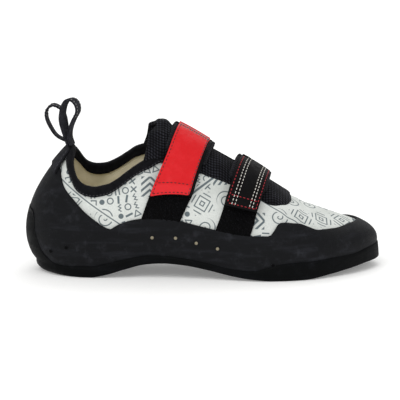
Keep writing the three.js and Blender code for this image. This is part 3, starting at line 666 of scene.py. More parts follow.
def printed(name, cloth, ink):
    """Printed microfibre: off-white cloth with grey line motifs, drawn and tilted anew in each block."""
    def pattern(tree):
        add = partial(node, tree)

        def length(a, b):
            return add("Math SQRT",
                (add("Math MULTIPLY_ADD", (a, a, add("Math MULTIPLY", (b, b)))),))

        def gap(value, middle):
            return add("Math ABSOLUTE", (add("Math SUBTRACT", (value, middle)),))

        def repeat(value, pitch):
            return add("Math SUBTRACT", (add("Math FLOORED_MODULO", (value, pitch)), pitch / 2))

        def inked(distance, half, *limits):
            """Below zero inside a stroke of this half width, cut off where a limit is above zero."""
            shape = add("Math SUBTRACT", (distance, half))
            for limit in limits:
                shape = add("Math MAXIMUM", (shape, limit))
            return shape

        def pick(draw, kinds, low, high):
            chosen = kinds[0]
            for k, kind in enumerate(kinds[1:], 1):
                later = add("Math GREATER_THAN", (draw, mix(low, high, k / len(kinds))))
                chosen = add("Mix", {0: later, 2: chosen, 3: kind})
            return chosen

        flat = add("Mapping", {0: add("TexCoord", out="UV"), 1: (500, 500, 0), 2: (0, 0, -.16)})

        def cells(pitch):
            scaled = add("VectorMath SCALE", {0: flat, 3: 1 / pitch})
            whole = add("VectorMath FLOOR", (scaled,))
            part = add("VectorMath SUBTRACT", (scaled, whole))
            centred = add("VectorMath SUBTRACT", (part, (.5, .5, 0)))
            local = add("VectorMath SCALE", {0: centred, 3: pitch})
            other = add("VectorMath ADD", (whole, (31, 17, 0)))
            draw, second = (add("TexWhiteNoise", {"Vector": place}, noise_dimensions="2D")
                            for place in (whole, other))
            quarter = add("Math MULTIPLY", (add("Math GREATER_THAN", (second, .55)), math.pi / 2))
            angle = add("Math MULTIPLY_ADD",
                (add("Math SINE", (add("Math MULTIPLY", (second, 40.0)),)), .3, quarter))
            turned = add("VectorRotate", {"Vector": local, "Angle": angle},
                rotation_type="Z_AXIS")
            x, y = (add("SeparateXYZ", (turned,), out=k) for k in (0, 1))
            return draw, x, y, *(add("Math ABSOLUTE", (value,)) for value in (x, y))

        def large():
            draw, x, y, ax, ay = cells(BLOCK)
            side, end = (add("Math SUBTRACT", (value, 7.4)) for value in (ax, ay))
            fold = add("Math MULTIPLY_ADD",
                (gap(add("Math FLOORED_MODULO", (x, 5.6)), 2.8), 2.4, -3.4))
            zigzag = inked(add("Math MULTIPLY", (gap(y, fold), .38)), THICK, side)
            swing = add("Math MULTIPLY",
                (add("Math SINE", (add("Math MULTIPLY", (x, .68)),)), 3.6))
            river = inked(gap(add("Math MULTIPLY", (gap(y, swing), .6)), 1.3), THIN, side)
            lane = repeat(x, 7.0)
            tall = length(lane, add("Math MAXIMUM", (add("Math SUBTRACT", (ay, 4.2)), 0.0)))
            pod = inked(add("Math MINIMUM", (gap(tall, 2.9), add("Math SUBTRACT", (tall, .6)))),
                THIN, side, end)
            slant = add("Math MULTIPLY", (add("Math ADD", (ax, ay)), .707))
            lozenges = inked(add("Math ABSOLUTE", (repeat(slant, 2.9),)), THIN, side, end)
            nest = repeat(add("Math MULTIPLY_ADD", (ax, .9, y)), 4.8)
            nest = add("Math MULTIPLY", (add("Math ABSOLUTE", (nest,)), .74))
            chevron = inked(nest, THICK, add("Math SUBTRACT", (ax, 6.4)), end)
            far = length(x, y)
            coil = add("Math MULTIPLY_ADD", (add("Math ARCTAN2", (y, x)), -3.8 / math.tau, far))
            spiral = inked(add("Math ABSOLUTE", (repeat(coil, 3.8),)), THIN,
                add("Math SUBTRACT", (far, 7.2)))
            kinds = (pod, zigzag, lozenges, river, chevron, spiral)
            return draw, pick(draw, kinds, 0.0, LARGE_SHARE)

        def small():
            draw, x, y, ax, ay = cells(CELL)
            far, most = length(x, y), add("Math MAXIMUM", (ax, ay))
            ring = inked(gap(far, 2.1), THIN)
            dot = add("Math SUBTRACT", (far, 1.9))
            diagonal = add("Math MULTIPLY", (gap(ax, ay), .707))
            cross = inked(diagonal, .5, add("Math SUBTRACT", (most, 2.2)))
            slope = add("Math MULTIPLY_ADD", (ax, .866, add("Math MULTIPLY", (y, .5))))
            wedge = add("Math MAXIMUM", (slope, add("Math MULTIPLY", (y, -1.0))))
            triangle = inked(gap(wedge, 1.4), THIN)
            dashes = inked(gap(ay, 1.3), .5, add("Math SUBTRACT", (ax, 2.6)))
            bar = inked(ax, THICK, add("Math SUBTRACT", (ay, 2.8)))
            fold = add("Math MULTIPLY_ADD",
                (gap(add("Math FLOORED_MODULO", (x, 2.4)), 1.2), 1.5, -.9))
            saw = inked(add("Math MULTIPLY", (gap(y, fold), .6)), .4,
                add("Math SUBTRACT", (ax, 2.7)))
            square = inked(gap(most, 1.8), THIN)
            return pick(draw, (ring, cross, dashes, dot, bar, triangle, saw, square), 0.0, 1.0)

        def lines(lean, pitch, half):
            turned = add("VectorRotate", {"Vector": flat, "Angle": lean}, rotation_type="Z_AXIS")
            lane = repeat(add("SeparateXYZ", (turned,), out=1), pitch)
            return inked(add("Math ABSOLUTE", (lane,)), half)

        draw, shapes = large()
        few = add("Math GREATER_THAN", (draw, LARGE_SHARE))
        motif = add("Mix", {0: few, 2: shapes, 3: small()})
        for lean, pitch, half in ((.75, 74.0, THIN), (-.5, 97.0, THICK)):
            line = lines(lean, pitch, half)
            motif = add("Math MINIMUM",
                (add("Math MAXIMUM", (motif, add("Math SUBTRACT", (LINE_MARGIN, line)))), line))
        return add("MapRange", {0: motif, 1: -EDGE_SOFT, 2: EDGE_SOFT, 3: 1.0, 4: 0.0},
            **SOFT_STEP)

    def shade(tree):
        add = partial(node, tree)
        soil = add("TexNoise", {"Vector": object_mm(tree), "Scale": .05, "Detail": 4})
        weave = add("TexNoise",
            {"Vector": object_mm(tree), "Scale": 1.1, "Detail": 3, "Roughness": .8})
        soiled = add("MapRange", {0: soil, 1: .4, 2: .75, 3: 0.0, 4: .5}, **SOFT_STEP)
        dull = add("Mix", {0: soiled, 6: cloth, 7: colour("#BFC4BE")}, **COLOUR_MIX)
        # Darker speckle standing for the weave's hollows: painted shade.
        weave_hollow_shade = add("MapRange", {0: weave, 1: .4, 2: .65, 3: 0.0, 4: .3}, **SOFT_STEP)
        ground = add("Mix", {0: weave_hollow_shade, 6: dull, 7: colour("#A9AFAC")}, **COLOUR_MIX)
        return add("Mix", {0: pattern(tree), 6: ground, 7: ink}, **COLOUR_MIX)

    def nap(tree):
        return node(tree, "TexNoise", {"Vector": object_mm(tree), "Scale": 1.5, "Detail": 4})

    return surface(name, shade, .8, nap, depth=.00012, **{"Sheen Weight": .05})


MADE = {}


def finish(key):
    """Material for a key, made once from the colours in the scene."""
    tones = bpy.context.scene.shoe_colours
    makers = {
        "rand": lambda: rubber("rand_moulded_rubber", tones.rand, colour("#33343A"), .5, .12),
        "sole": lambda: rubber("sole_pressed_rubber", tones.sole, colour("#1B1C20"), .5, .06),
        "print": lambda: printed("upper_printed_microfibre", tones.cloth, tones.ink),
        "lining": lambda: brushed("lining_brushed_microfibre", tones.lining, colour("#D8CFAE")),
        # The second colour of the knit, the woven goods and the pile is their painted highlight.
        "knit": lambda: knit_mesh("tongue_mesh_knit", tones.knit, colour("#303138")),
        "tape": lambda: woven("collar_folded_tape", tones.tape, colour("#19191D"), .9, twill=0.0),
        "webbing": lambda: woven("loop_woven_webbing", tones.webbing, colour("#3B3B43"), 1.5),
        "tab": lambda: woven("heel_woven_patch", tones.webbing, colour("#33333A"), 1.2),
        "pile": lambda: pile("strap_looped_pile", tones.pile, colour("#1B1B1F")),
        "elastic": lambda: woven("base_ribbed_elastic", colour("#0D0D10"), colour("#26262B"), 1.8,
                                 twill=0.0),
        "red": lambda: coated("strap_red_coated_microfibre", tones.red, colour("#E83038"), .38,
                              .25, .4),
        "black": lambda: coated("strap_black_coated_microfibre", tones.black, colour("#0C0C0E"),
                                .5, .1, 0.0),
        "white_thread": lambda: thread("white_sewing_thread", tones.white_thread),
        "red_thread": lambda: thread("red_sewing_thread", tones.red_thread),
        "dark_thread": lambda: thread("dark_sewing_thread", tones.dark_thread),
        "grey_thread": lambda: thread("grey_sewing_thread", colour("#8E8C8A")),
        "black_thread": lambda: thread("black_sewing_thread", colour("#34343A")),
        "hole": lambda: surface("shade_in_vent_hole", colour("#050506"), .9),
        # Pale disc in the arch vents: a painted reflection.
        "vent": lambda: surface("painted_reflection_in_vent_hole", colour("#8F8773"), .8),
    }
    if key not in MADE:
        MADE[key] = makers[key]()
    return MADE[key]


# Forms shared by the pieces
TURNS = np.linspace(0, FULL_TURN, 257)

# Soft folds in the upper: middle, side, lean from level in degrees, half length, half width, depth
CREASES = columns(
    "x z side lean length width depth",
    (-66, 62, LATERAL, 62, 15, 4.0, .7), (-52, 70, LATERAL, 35, 13, 3.5, .6),
    (-12, 56, LATERAL, 70, 16, 4.5, .6), (4, 62, LATERAL, 80, 15, 4.0, .8),
    (12, 46, LATERAL, 60, 11, 4.0, .6), (62, 42, LATERAL, 75, 12, 3.2, 1.0),
    (72, 38, LATERAL, 70, 10, 3.0, .8), (86, 36, LATERAL, 35, 11, 3.2, .6),
    (-64, 60, MEDIAL, 60, 15, 4.0, .8), (-30, 66, MEDIAL, 75, 17, 4.5, .8),
    (8, 56, MEDIAL, 72, 17, 4.5, 1.0), (60, 42, MEDIAL, 78, 13, 3.4, 1.0),
    (72, 38, MEDIAL, 72, 11, 3.2, .9))


def crease(point, scale):
    """How far the soft folds pull the upper in at points of the last."""
    pulled = np.zeros(point.shape[:-1])
    sides = np.where(point[..., 1] < BALL_WIDTH * centre_line(
        (point[..., 0] - SEAM_REAR) / SEAM_LENGTH), LATERAL, MEDIAL)
    for x, z, side, lean, length, width, depth in zip(*CREASES.values()):
        turn = math.radians(lean)
        dx, dz = point[..., 0] - x, point[..., 2] - z
        along = dx * math.cos(turn) + dz * math.sin(turn)
        across = dz * math.cos(turn) - dx * math.sin(turn)
        fade = np.exp(-(along / length) ** 2)
        trough = np.exp(-(across / width) ** 2)
        ridges = .45 * np.exp(-((np.abs(across) - 2 * width) / width) ** 2)
        pulled += np.where(sides == side, depth * scale * fade * (ridges - trough), 0)
    return pulled


def wall_ring(angle, low, top, outer, inner, rounding, rows=18, relief=None):
    """Closed wall sections round the foot, with the outer top edge rounded."""
    speed = pace(angle, top)
    arc = np.linspace(0, math.pi / 2, 6)[1:]
    shoulder_height = top - rounding / speed
    up = mix(low[:, None], shoulder_height[:, None], np.linspace(0, 1, rows))
    over = top[:, None] - rounding * (1 - np.sin(arc)) / speed[:, None]
    down = mix(top[:, None], low[:, None], np.linspace(0, 1, 8))
    height = np.concatenate((up, over, down, low[:, None]), axis=1)
    flat = np.concatenate((
        np.full(rows, outer), outer - rounding * (1 - np.cos(arc)), np.full(8, inner), [outer]))
    offset = flat + np.zeros_like(height)
    if relief is not None:
        outside = (flat > (outer + inner) / 2)[None, :]
        offset = offset + np.where(outside, relief(last_point(angle[:, None], height), height), 0)
    return skin(angle[:, None], height, offset)


def stadium(width, half, edge, count):
    """Closed outline of a thin slab's section: places across and heights from -1 to 1."""
    turn = np.linspace(math.pi / 2, -math.pi / 2, 7)[1:-1]
    top = np.linspace(edge, width - edge, count)
    across = np.concatenate((top, width - edge + edge * np.cos(turn), top[::-1],
                             edge - edge * np.cos(turn), top[:1]))
    level = np.concatenate((np.ones(count), np.sin(turn), -np.ones(count), -np.sin(turn), [1]))
    return across, level * half


SKEW_TOP = -.4


class Band:
    """One band over the foot: places on it are millimetres from its lower end and its rear edge."""

    def __init__(self, rows, start, end, foot, wall, skew=0.0):
        self.rear, self.front = curve(rows, "rear", "down"), curve(rows, "front", "down")
        self.foot, self.wall, self.start, self.skew = foot, wall, start, skew
        self.downs = np.linspace(start, end, 161)
        middle = foot_point((self.rear(self.downs) + self.front(self.downs)) / 2, self.downs, foot)
        steps = np.linalg.norm(np.diff(middle, axis=0), axis=-1)
        self.lengths = np.concatenate(([0], np.cumsum(steps)))
        self.length = self.lengths[-1]
        self.width = float((self.front(start) - self.rear(start)) * SEAM_LENGTH)

    def spot(self, along, across, level):
        """Point at a length along, a share across and a level in the wall, 0 at its foot."""
        down = np.interp(along, self.lengths, self.downs)
        down = down + self.skew * across * (1 - smooth(self.start, SKEW_TOP, down))
        share = mix(self.rear(down), self.front(down), across)
        return foot_point(share, down, self.foot + level)

    def slab(self, edge=.7, spread=0.0, corner=2.0, rows=90, count=24, lift=None):
        """The whole band as one closed slab with rounded edges, ends and corners."""
        turn = np.linspace(0, math.pi / 2, 6)
        start = edge * (1 - np.cos(turn))
        middle = np.linspace(edge, self.length - edge, rows)[1:-1]
        along = np.concatenate((start, middle, self.length - start[::-1]))
        thick = np.concatenate((np.sin(turn), np.ones(len(middle)), np.sin(turn[::-1])))
        near = np.minimum(along, self.length - along)
        pulled = np.where(near < corner, corner - np.sqrt(np.maximum(
            corner**2 - (corner - near) ** 2, 0)), 0)
        width = self.width + 2 * spread
        across, level = stadium(width, self.wall / 2, edge, count)
        share = (across[None, :] - spread) / self.width
        share = .5 + (share - .5) * (1 - 2 * pulled / width)[:, None]
        height = self.wall / 2 + level[None, :] * thick[:, None]
        if lift is not None:
            top = (level > 0)[None, :] * thick[:, None]
            height = height + top * lift(along[:, None], share)
        return self.spot(along[:, None] + 0 * share, share, height)


PATCH_TOP = GAP + PATCH_WALL
BASE_FOOT = PATCH_TOP + GAP
REAR_STRAP_FOOT = BASE_FOOT + BASE_WALL_REAR + GAP
FRONT_STRAP_FOOT = BASE_FOOT + BASE_WALL_FRONT + GAP


RED_ENDS, RED_SKEW, BLACK_ENDS = (-.83, .08), .06, (-.755, .08)
BACKING = 2.3
FOLD_LINE = -.04


def add_stitches(bm, start, end, outward, radius):
    """One flattened bead of thread from each start to each end, all in millimetres."""
    for a, b, out in zip(start, end, outward):
        a, b = (Vector((p + ORIGIN_SHIFT) * MM) for p in (a, b))
        along = (b - a).normalized()
        up = Vector(out)
        up = (up - along * up.dot(along)).normalized()
        side = along.cross(up)
        turned = Matrix((along, side, up)).transposed().to_4x4()
        shape = Matrix.Diagonal(((b - a).length / 2, radius * MM, radius * MM * .8, 1))
        place = Matrix.Translation((a + b) / 2) @ turned @ shape
        bmesh.ops.create_icosphere(bm, subdivisions=2, radius=1, matrix=place)


def seam_row(bm, path, normal, sizes, length=None, pitch=None):
    """Stitches at an even pitch along a path of points with their normals."""
    length, pitch = length or sizes.stitch, pitch or sizes.pitch
    run = np.concatenate(([0], np.cumsum(np.linalg.norm(np.diff(path, axis=0), axis=-1))))
    count = max(int((run[-1] - length) / pitch) + 1, 1)
    first = (run[-1] - (count - 1) * pitch - length) / 2
    begin = first + pitch * np.arange(count)

    def at(values, s):
        return np.stack([np.interp(s, run, values[:, k]) for k in range(3)], axis=-1)

    add_stitches(bm, at(path, begin), at(path, begin + length), at(normal, begin + length / 2),
                 sizes.thread)


def band_row(bm, band, along, across, sizes, lift=None, **kind):
    """A row of stitches on top of a band, through places along and across it."""
    along, across = (np.broadcast_to(v, (60,)) for v in (along, across))
    top = band.wall + .08 + (lift(along, across) if lift else 0)
    path = band.spot(along, across, top)
    over = band.spot(along, across, top + 1)
    seam_row(bm, path, over - path, sizes, **kind)


def thread_piece(name, bm, key):
    for face in bm.faces:
        face.smooth = True
    return piece(name, bm, key)


# Pieces
def shape_upper(scene):
    """Hollow upper: printed outside, brushed lining inside."""
    height = edge_share(TURNS)[:, None] * np.linspace(0, 1, 49)
    angle = TURNS[:, None]
    pulled = crease(last_point(angle, height), scene.shoe_sizes.crease)
    points = skin(angle, height, pulled)
    made = piece("upper_shell", sheet(points),
                 "print lining", ["upper"])
    unroll(made, points)
    bm = bmesh.new()
    bm.from_mesh(made.data)
    bmesh.ops.remove_doubles(bm, verts=bm.verts, dist=2e-6)
    bmesh.ops.recalc_face_normals(bm, faces=bm.faces)
    bm.to_mesh(made.data)
    bm.free()
    wall = made.modifiers.new("wall", "SOLIDIFY")
    wall.thickness = UPPER_WALL * MM
    wall.offset = -1
    wall.material_offset = 1
    wall.material_offset_rim = 1


def unroll(made, points):
    """Lay the upper out flat like its cut pattern, then scale that map to millimetres."""
    bpy.context.view_layer.objects.active = made
    made.select_set(True)
    bpy.ops.object.mode_set(mode="EDIT")
    bpy.ops.mesh.select_all(action="SELECT")
    bpy.ops.uv.unwrap(method="ANGLE_BASED", margin=0)
    bpy.ops.object.mode_set(mode="OBJECT")
    made.select_set(False)
    mesh = made.data
    layer = mesh.uv_layers[0].data
    flat = np.empty(len(layer) * 2)
    layer.foreach_get("uv", flat)
    flat = flat.reshape(-1, 2)
    corner = np.empty(len(layer), dtype=np.int64)
    mesh.loops.foreach_get("vertex_index", corner)
    where = np.zeros((len(mesh.vertices), 2))
    where[corner] = flat
    place = np.empty(len(mesh.vertices) * 3)
    mesh.vertices.foreach_get("co", place)
    place = place.reshape(-1, 3) / MM - ORIGIN_SHIFT

    def nearest(i, j):
        return int(np.argmin(np.linalg.norm(place - points[i, j], axis=-1)))

    rear, fore, over = nearest(45, 30), nearest(80, 30), nearest(62, 44)
    ahead, up = where[fore] - where[rear], where[over] - where[rear]
    real = place[fore] - place[rear]
    scale = np.linalg.norm(real) / np.linalg.norm(ahead)
    turn = math.atan2(real[2], real[0]) - math.atan2(ahead[1], ahead[0])
    if ahead[0] * up[1] - ahead[1] * up[0] < 0:
        flat = flat * (1, -1)
        turn = math.atan2(real[2], real[0]) + math.atan2(ahead[1], ahead[0])
    c, s = math.cos(turn) * scale, math.sin(turn) * scale
    layer.foreach_set("uv", (flat @ np.array([[c, s], [-s, c]])).ravel())


def shape_rand(scene):
    """Rubber band round the foot, thinner towards its top edge."""
    def relief(point, height):
        slow = np.sin(point[..., 0] * .11) * np.sin(point[..., 2] * .16 + 1)
        return .12 * slow

    points = wall_ring(TURNS, np.zeros(len(TURNS)), rand_share(TURNS), GAP + RAND_WALL, GAP, 1.3,
                       rows=26, relief=relief)
    piece("rand_band", close(sheet(points)), "rand", ["rand"])


# Vent holes by their places in the photograph: pale ones in the arch, dark ones at heel and toe
VENTS = columns(
    "px py pale", (152.6, 237.7, 1), (176, 238, 1), (197, 243, 1), (218, 248.8, 1),
    (51.3, 251, 0), (66.9, 247.5, 0), (272.7, 265.7, 0))
PIXEL = .732
PIXEL_MIDDLE = 202.5
PIXEL_GROUND = 268.6
ELEVATION = 12.0


def picture_place(px, py, offset):
    """Angle and height on the lateral side of the last that show at a pixel of the photograph."""
    angle, height = np.meshgrid(np.linspace(.02, math.pi - .02, 700), np.linspace(0, .9, 260),
                                indexing="ij")
    point = skin(angle, height, offset)
    tip = math.radians(ELEVATION)
    level = point[..., 2] * math.cos(tip) + point[..., 1] * math.sin(tip)
    off = (point[..., 0] - (px - PIXEL_MIDDLE) * PIXEL) ** 2 + (
        level - (PIXEL_GROUND - py) * PIXEL) ** 2
    best = np.unravel_index(np.argmin(off), off.shape)
    return angle[best], height[best]


def shape_vents(scene):
    """Vent holes in the rand: a sunk disc with a raised soft lip."""
    radius = scene.shoe_sizes.pinhole
    groups = {1: ("vent_holes_arch", "vent"), 0: ("vent_holes_ends", "hole")}
    for pale, (name, key) in groups.items():
        discs, lips = bmesh.new(), bmesh.new()
        for px, py, kind in zip(*VENTS.values()):
            if kind != pale:
                continue
            angle, height = picture_place(px, py, GAP + RAND_WALL)
            for turn in (angle, FULL_TURN - angle):
                middle = skin(turn, height, GAP + RAND_WALL + .05)
                out = last_normal(turn, height)
                facing = Vector(out).to_track_quat("Z", "Y").to_matrix().to_4x4()
                place = Matrix.Translation(Vector((middle + ORIGIN_SHIFT) * MM)) @ facing
                flat = place @ Matrix.Diagonal((1, 1, .22, 1))
                bmesh.ops.create_icosphere(discs, subdivisions=2, radius=radius * MM, matrix=flat)
                ring(lips, place, radius * MM * 1.15, .28 * MM)
        thread_piece(name, discs, key)
        thread_piece(name.replace("holes", "lips"), lips, "rand")


def ring(bm, place, radius, thickness):
    """Small torus, spun from a circle."""
    made = bmesh.ops.create_circle(bm, segments=6, radius=thickness,
                                   matrix=Matrix.Translation((radius, 0, 0)) @ Matrix.Rotation(
                                       math.pi / 2, 4, "X"))
    edges = list({e for v in made["verts"] for e in v.link_edges})
    spun = bmesh.ops.spin(bm, geom=made["verts"] + edges, axis=(0, 0, 1), cent=(0, 0, 0),
                          angle=FULL_TURN, steps=16, use_merge=True)
    verts = {v for g in spun["geom_last"] if isinstance(g, bmesh.types.BMVert) for v in [g]}
    island, wave = set(verts), list(verts)
    while wave:
        vert = wave.pop()
        for edge in vert.link_edges:
            other = edge.other_vert(vert)
            if other not in island:
                island.add(other)
                wave.append(other)
    bmesh.ops.transform(bm, matrix=place, verts=list(island))


MIDDLE_REAR, MIDDLE_FRONT = .1, .82
EDGE_ROUND, HEEL_ROUND, HEEL_END = 1.5, 8.5, .13
TOE_CRISP, TOE_START = .75, .85
SIDE_LEAN, LIP_EDGE = 1.0, -.05


def sole_spread(angle, spread, inset, level):
    share = np.clip(share_at(angle), MIDDLE_REAR, MIDDLE_FRONT)
    middle = xyz(SEAM_REAR + SEAM_LENGTH * share, BALL_WIDTH * centre_line(share), 0)
    point = mix(middle, skin(angle, 0 * angle, np.full(np.shape(angle), -float(inset))), spread)
    point[..., 2] = level((point[..., 0] - SEAM_REAR) / SEAM_LENGTH)
    return point


def shape_outsole(scene):
    """Sole with its tucked underside, side edge, lip, heel strip and dished floor."""
    inner = GAP * 2 + RAND_WALL
    outer = inner + SOLE_LIP
    at = share_at(TURNS)
    edge_round = EDGE_ROUND * (1 - TOE_CRISP * smooth(TOE_START, .97, at))
    tuck = edge_round + HEEL_ROUND * (1 - smooth(0, HEEL_END, at))
    low, seam = underside(at), seam_height(at)

    def side(inset, z):
        point = skin(TURNS, 0 * TURNS, outer - inset)
        point[:, 2] = z
        return point

    sections = [sole_spread(TURNS, s, 0, underside) for s in (0, .3, .6, .8)]
    sections.append(side(tuck + edge_round, low))
    for share, up in ((.72, .06), (.5, .14), (.35, .25), (.2, .42), (.08, .6), (.02, .8)):
        sections.append(side(tuck * share + SIDE_LEAN * up, mix(low, seam, up)))
    top = lip_share(TURNS)
    for f in np.linspace(0, 1, 14):
        offset = mix(outer - SIDE_LEAN, inner + LIP_EDGE, f ** .7)
        sections.append(skin(TURNS, top * f, np.full(len(TURNS), offset)))
    for f in np.linspace(1, 0, 6):
        sections.append(skin(TURNS, top * f, np.full(len(TURNS), inner)))
    sections.append(side(outer - inner + GAP, seam))
    sections.append(side(outer + UPPER_WALL + SOLE_RIM, seam))
    sections.append(sole_spread(TURNS, 1, INSOLE_INSET - GAP, floor_height))
    sections.append(sole_spread(TURNS, 0, 0, floor_height))
    points = np.stack(sections, axis=1)
    piece("sole_plate", close(sheet(points, inner_from=len(sections) - 4)),
          "sole lining", ["outsole"])


THROAT_CORNER, LEAN_END = .302, .46
TAPE_END = THROAT_CORNER + .01
TAPE_TAIL = .372
TONGUE_EDGE = columns(
    "at lean", (0, 1.5), (.16, 3.8), (.3, 4.6), (.44, 5), (.55, 7.6), (.66, 9.9), (.83, 11.6),
    (1, 13.8))


def shape_tongue(scene):
    """Knit tongue: fills the throat, rolls up in humps behind and ends in a raised lobe in front."""
    start = float(angle_of(THROAT_CORNER, LATERAL))
    angle = np.linspace(start, FULL_TURN - start, 193)[:, None]
    share = np.linspace(0, 1, 25)[None, :]
    at = share_at(angle)
    side = np.where(np.sin(angle) >= 0, LATERAL, MEDIAL)
    rear = 1 - smooth(THROAT_CORNER, LEAN_END, at)
    lean = rear * curve(TONGUE_EDGE, "lean")(share) / SEAM_LENGTH
    moved = angle_of(at + lean, side + 0 * share)
    lobe = smooth(.64, .7, at)
    foot = climb(moved, edge_share(moved), mix(GAP, -2.2, lobe))
    height = mix(foot, 1, share)
    back = (at - THROAT_CORNER) * SEAM_LENGTH
    hump = 2.6 * np.exp(-((back - 4.5) / 5.5) ** 2) * (
        np.exp(-((share - .95) / .17) ** 2) + .75 * np.exp(-((share - .5) / .12) ** 2))
    over_tape = 1.9 * (1 - smooth(8, 20, back)) * (1 - smooth(.1, .5, share))
    raised = TONGUE_RISE * smooth(0, .3, share) + hump + over_tape
    raised = raised + lobe * (1.3 * smooth(0, .12, share))
    points = skin(moved, height, raised)
    bm = sheet(points, uv=np.stack((points[..., 0], arc_from_ridge(points, side)), axis=-1))
    bmesh.ops.remove_doubles(bm, verts=bm.verts, dist=2e-6)
    bmesh.ops.recalc_face_normals(bm, faces=bm.faces)
    made = piece("tongue_knit", bm, "knit", ["tongue"])
    wall = made.modifiers.new("wall", "SOLIDIFY")
    wall.thickness = TONGUE_WALL * MM
    wall.offset = -1
    rounded = made.modifiers.new("soft_edges", "BEVEL")
    rounded.width = .9 * MM
    rounded.segments = 3
    rounded.limit_method = "ANGLE"
    rounded.angle_limit = math.radians(50)


def arc_from_ridge(points, side):
    """Signed length from the ridge line down each row, lateral negative."""
    steps = np.linalg.norm(np.diff(points[:, ::-1], axis=1), axis=-1)
    run = np.concatenate((np.zeros((len(points), 1)), np.cumsum(steps, axis=1)), axis=1)[:, ::-1]
    return run * side


def shape_binding(scene):
    """Folded tape over the collar edge, with one row of stitches under the fold."""
    end = float(angle_of(TAPE_TAIL, LATERAL))
    angle = np.linspace(-end, end, 221)
    edge = edge_share(angle)
    slim = smooth(TAPE_END, TAPE_TAIL, share_at(angle))
    low = mix(tape_share(angle), climb(angle, edge, -1.2), slim ** 1.5)
    outer, inner = GAP + TAPE, -UPPER_WALL - GAP - TAPE
    middle, half = (outer + inner) / 2, (outer - inner) / 2
    turn = np.linspace(0, math.pi, 15)
    leg = np.linspace(0, 1, 7)
    fold_start = -.6
    rows = []
    for f in leg[:-1]:
        swell = .22 * math.sin(math.pi * f)
        rows.append((mix(low, climb(angle, edge, fold_start), f), outer + swell))
    for t in turn:
        rows.append((climb(angle, edge, fold_start + 2.1 * math.sin(t)),
                     middle + half * math.cos(t)))
    for f in leg[1:]:
        rows.append((mix(climb(angle, edge, fold_start), low, f), inner))
    for h, off in ((low, inner + TAPE), (climb(angle, edge, GAP), inner + TAPE),
                   (climb(angle, edge, GAP), GAP), (low, GAP), (low, outer)):
        rows.append((h, off))
    points = np.stack([skin(angle, h, np.full(len(angle), float(off))) for h, off in rows], axis=1)
    piece("collar_tape", capped(points), "tape", ["collar_binding"])

    stitches = bmesh.new()
    lane = climb(angle, low, 1.1)
    path = skin(angle, lane, np.full(len(angle), outer + .12))
    seam_row(stitches, path, last_normal(angle, lane), scene.shoe_sizes, length=1.6, pitch=2.6)
    thread_piece("collar_tape_stitches", stitches, "black_thread")


TAB_TURN, TAB_FOOT, TAB_DROP = .36, .84, .06


def shape_heel_tab(scene):
    """Woven patch over the heel top, stitched along its sides."""
    angle = np.linspace(-TAB_TURN, TAB_TURN, 49)
    drop = TAB_DROP * (1 - np.cos(angle / TAB_TURN * math.pi / 2))
    low = height_share(angle, HEEL_HEIGHT * (TAB_FOOT - drop))
    top = climb(angle, edge_share(angle), -GAP)
    inner = GAP * 2 + RAND_WALL
    points = wall_ring(angle, low, top, inner + TAB_WALL, inner, .5, rows=12)
    piece("heel_patch", capped(points), "tab", ["heel_tab"])

    stitches = bmesh.new()
    for turn in (-TAB_TURN + .03, TAB_TURN - .03):
        share = np.linspace(.08, .92, 20)
        line = np.full(20, turn)
        lane = np.interp(turn, angle, low) + share * (
            np.interp(turn, angle, top) - np.interp(turn, angle, low))
        path = skin(line, lane, np.full(20, inner + TAB_WALL + .1))
        seam_row(stitches, path, last_normal(line, lane), scene.shoe_sizes)
    thread_piece("heel_patch_stitches", stitches, "black_thread")


def smooth_path(control, count):
    """Centripetal Catmull-Rom path through the control points, at even spacing."""
    ends = np.concatenate(([2 * control[0] - control[1]], control, [2 * control[-1] - control[-2]]))
    dense = []
    for p0, p1, p2, p3 in zip(ends, ends[1:], ends[2:], ends[3:]):
        knots = np.concatenate(([0], np.cumsum([
            math.sqrt(np.linalg.norm(b - a)) for a, b in ((p0, p1), (p1, p2), (p2, p3))])))
        t = np.linspace(knots[1], knots[2], 24, endpoint=False)[:, None]
        a1 = mix(p0, p1, (t - knots[0]) / (knots[1] - knots[0]))
        a2 = mix(p1, p2, (t - knots[1]) / (knots[2] - knots[1]))
        a3 = mix(p2, p3, (t - knots[2]) / (knots[3] - knots[2]))
        b1 = mix(a1, a2, (t - knots[0]) / (knots[2] - knots[0]))
        b2 = mix(a2, a3, (t - knots[1]) / (knots[3] - knots[1]))
        dense.append(mix(b1, b2, (t - knots[1]) / (knots[2] - knots[1])))
    dense = np.concatenate(dense + [control[-1:]])
    run = np.concatenate(([0], np.cumsum(np.linalg.norm(np.diff(dense, axis=0), axis=-1))))
    at = np.linspace(0, run[-1], count)
    return np.stack([np.interp(at, run, dense[:, k]) for k in range(3)], axis=-1)


def loop_frame(rows, count):
    """Centre line of a webbing loop with its directions across and through."""
    crest = skin(np.zeros(1), edge_share(np.zeros(1)), np.zeros(1))[0]
    control = xyz(crest[0] - HEEL_HEIGHT * rows["back"], HEEL_HEIGHT * rows["across"],
                  crest[2] + HEEL_HEIGHT * rows["up"])
    path = smooth_path(control, count)
    ahead = unit(np.gradient(path, axis=0))
    spots = np.linspace(0, len(control) - 1, count)
    turn = np.radians(np.interp(spots, np.arange(len(control)), rows["turn"]))
    wide = xyz(np.sin(turn), np.cos(turn), 0)
    return path, wide, unit(np.cross(ahead, wide))


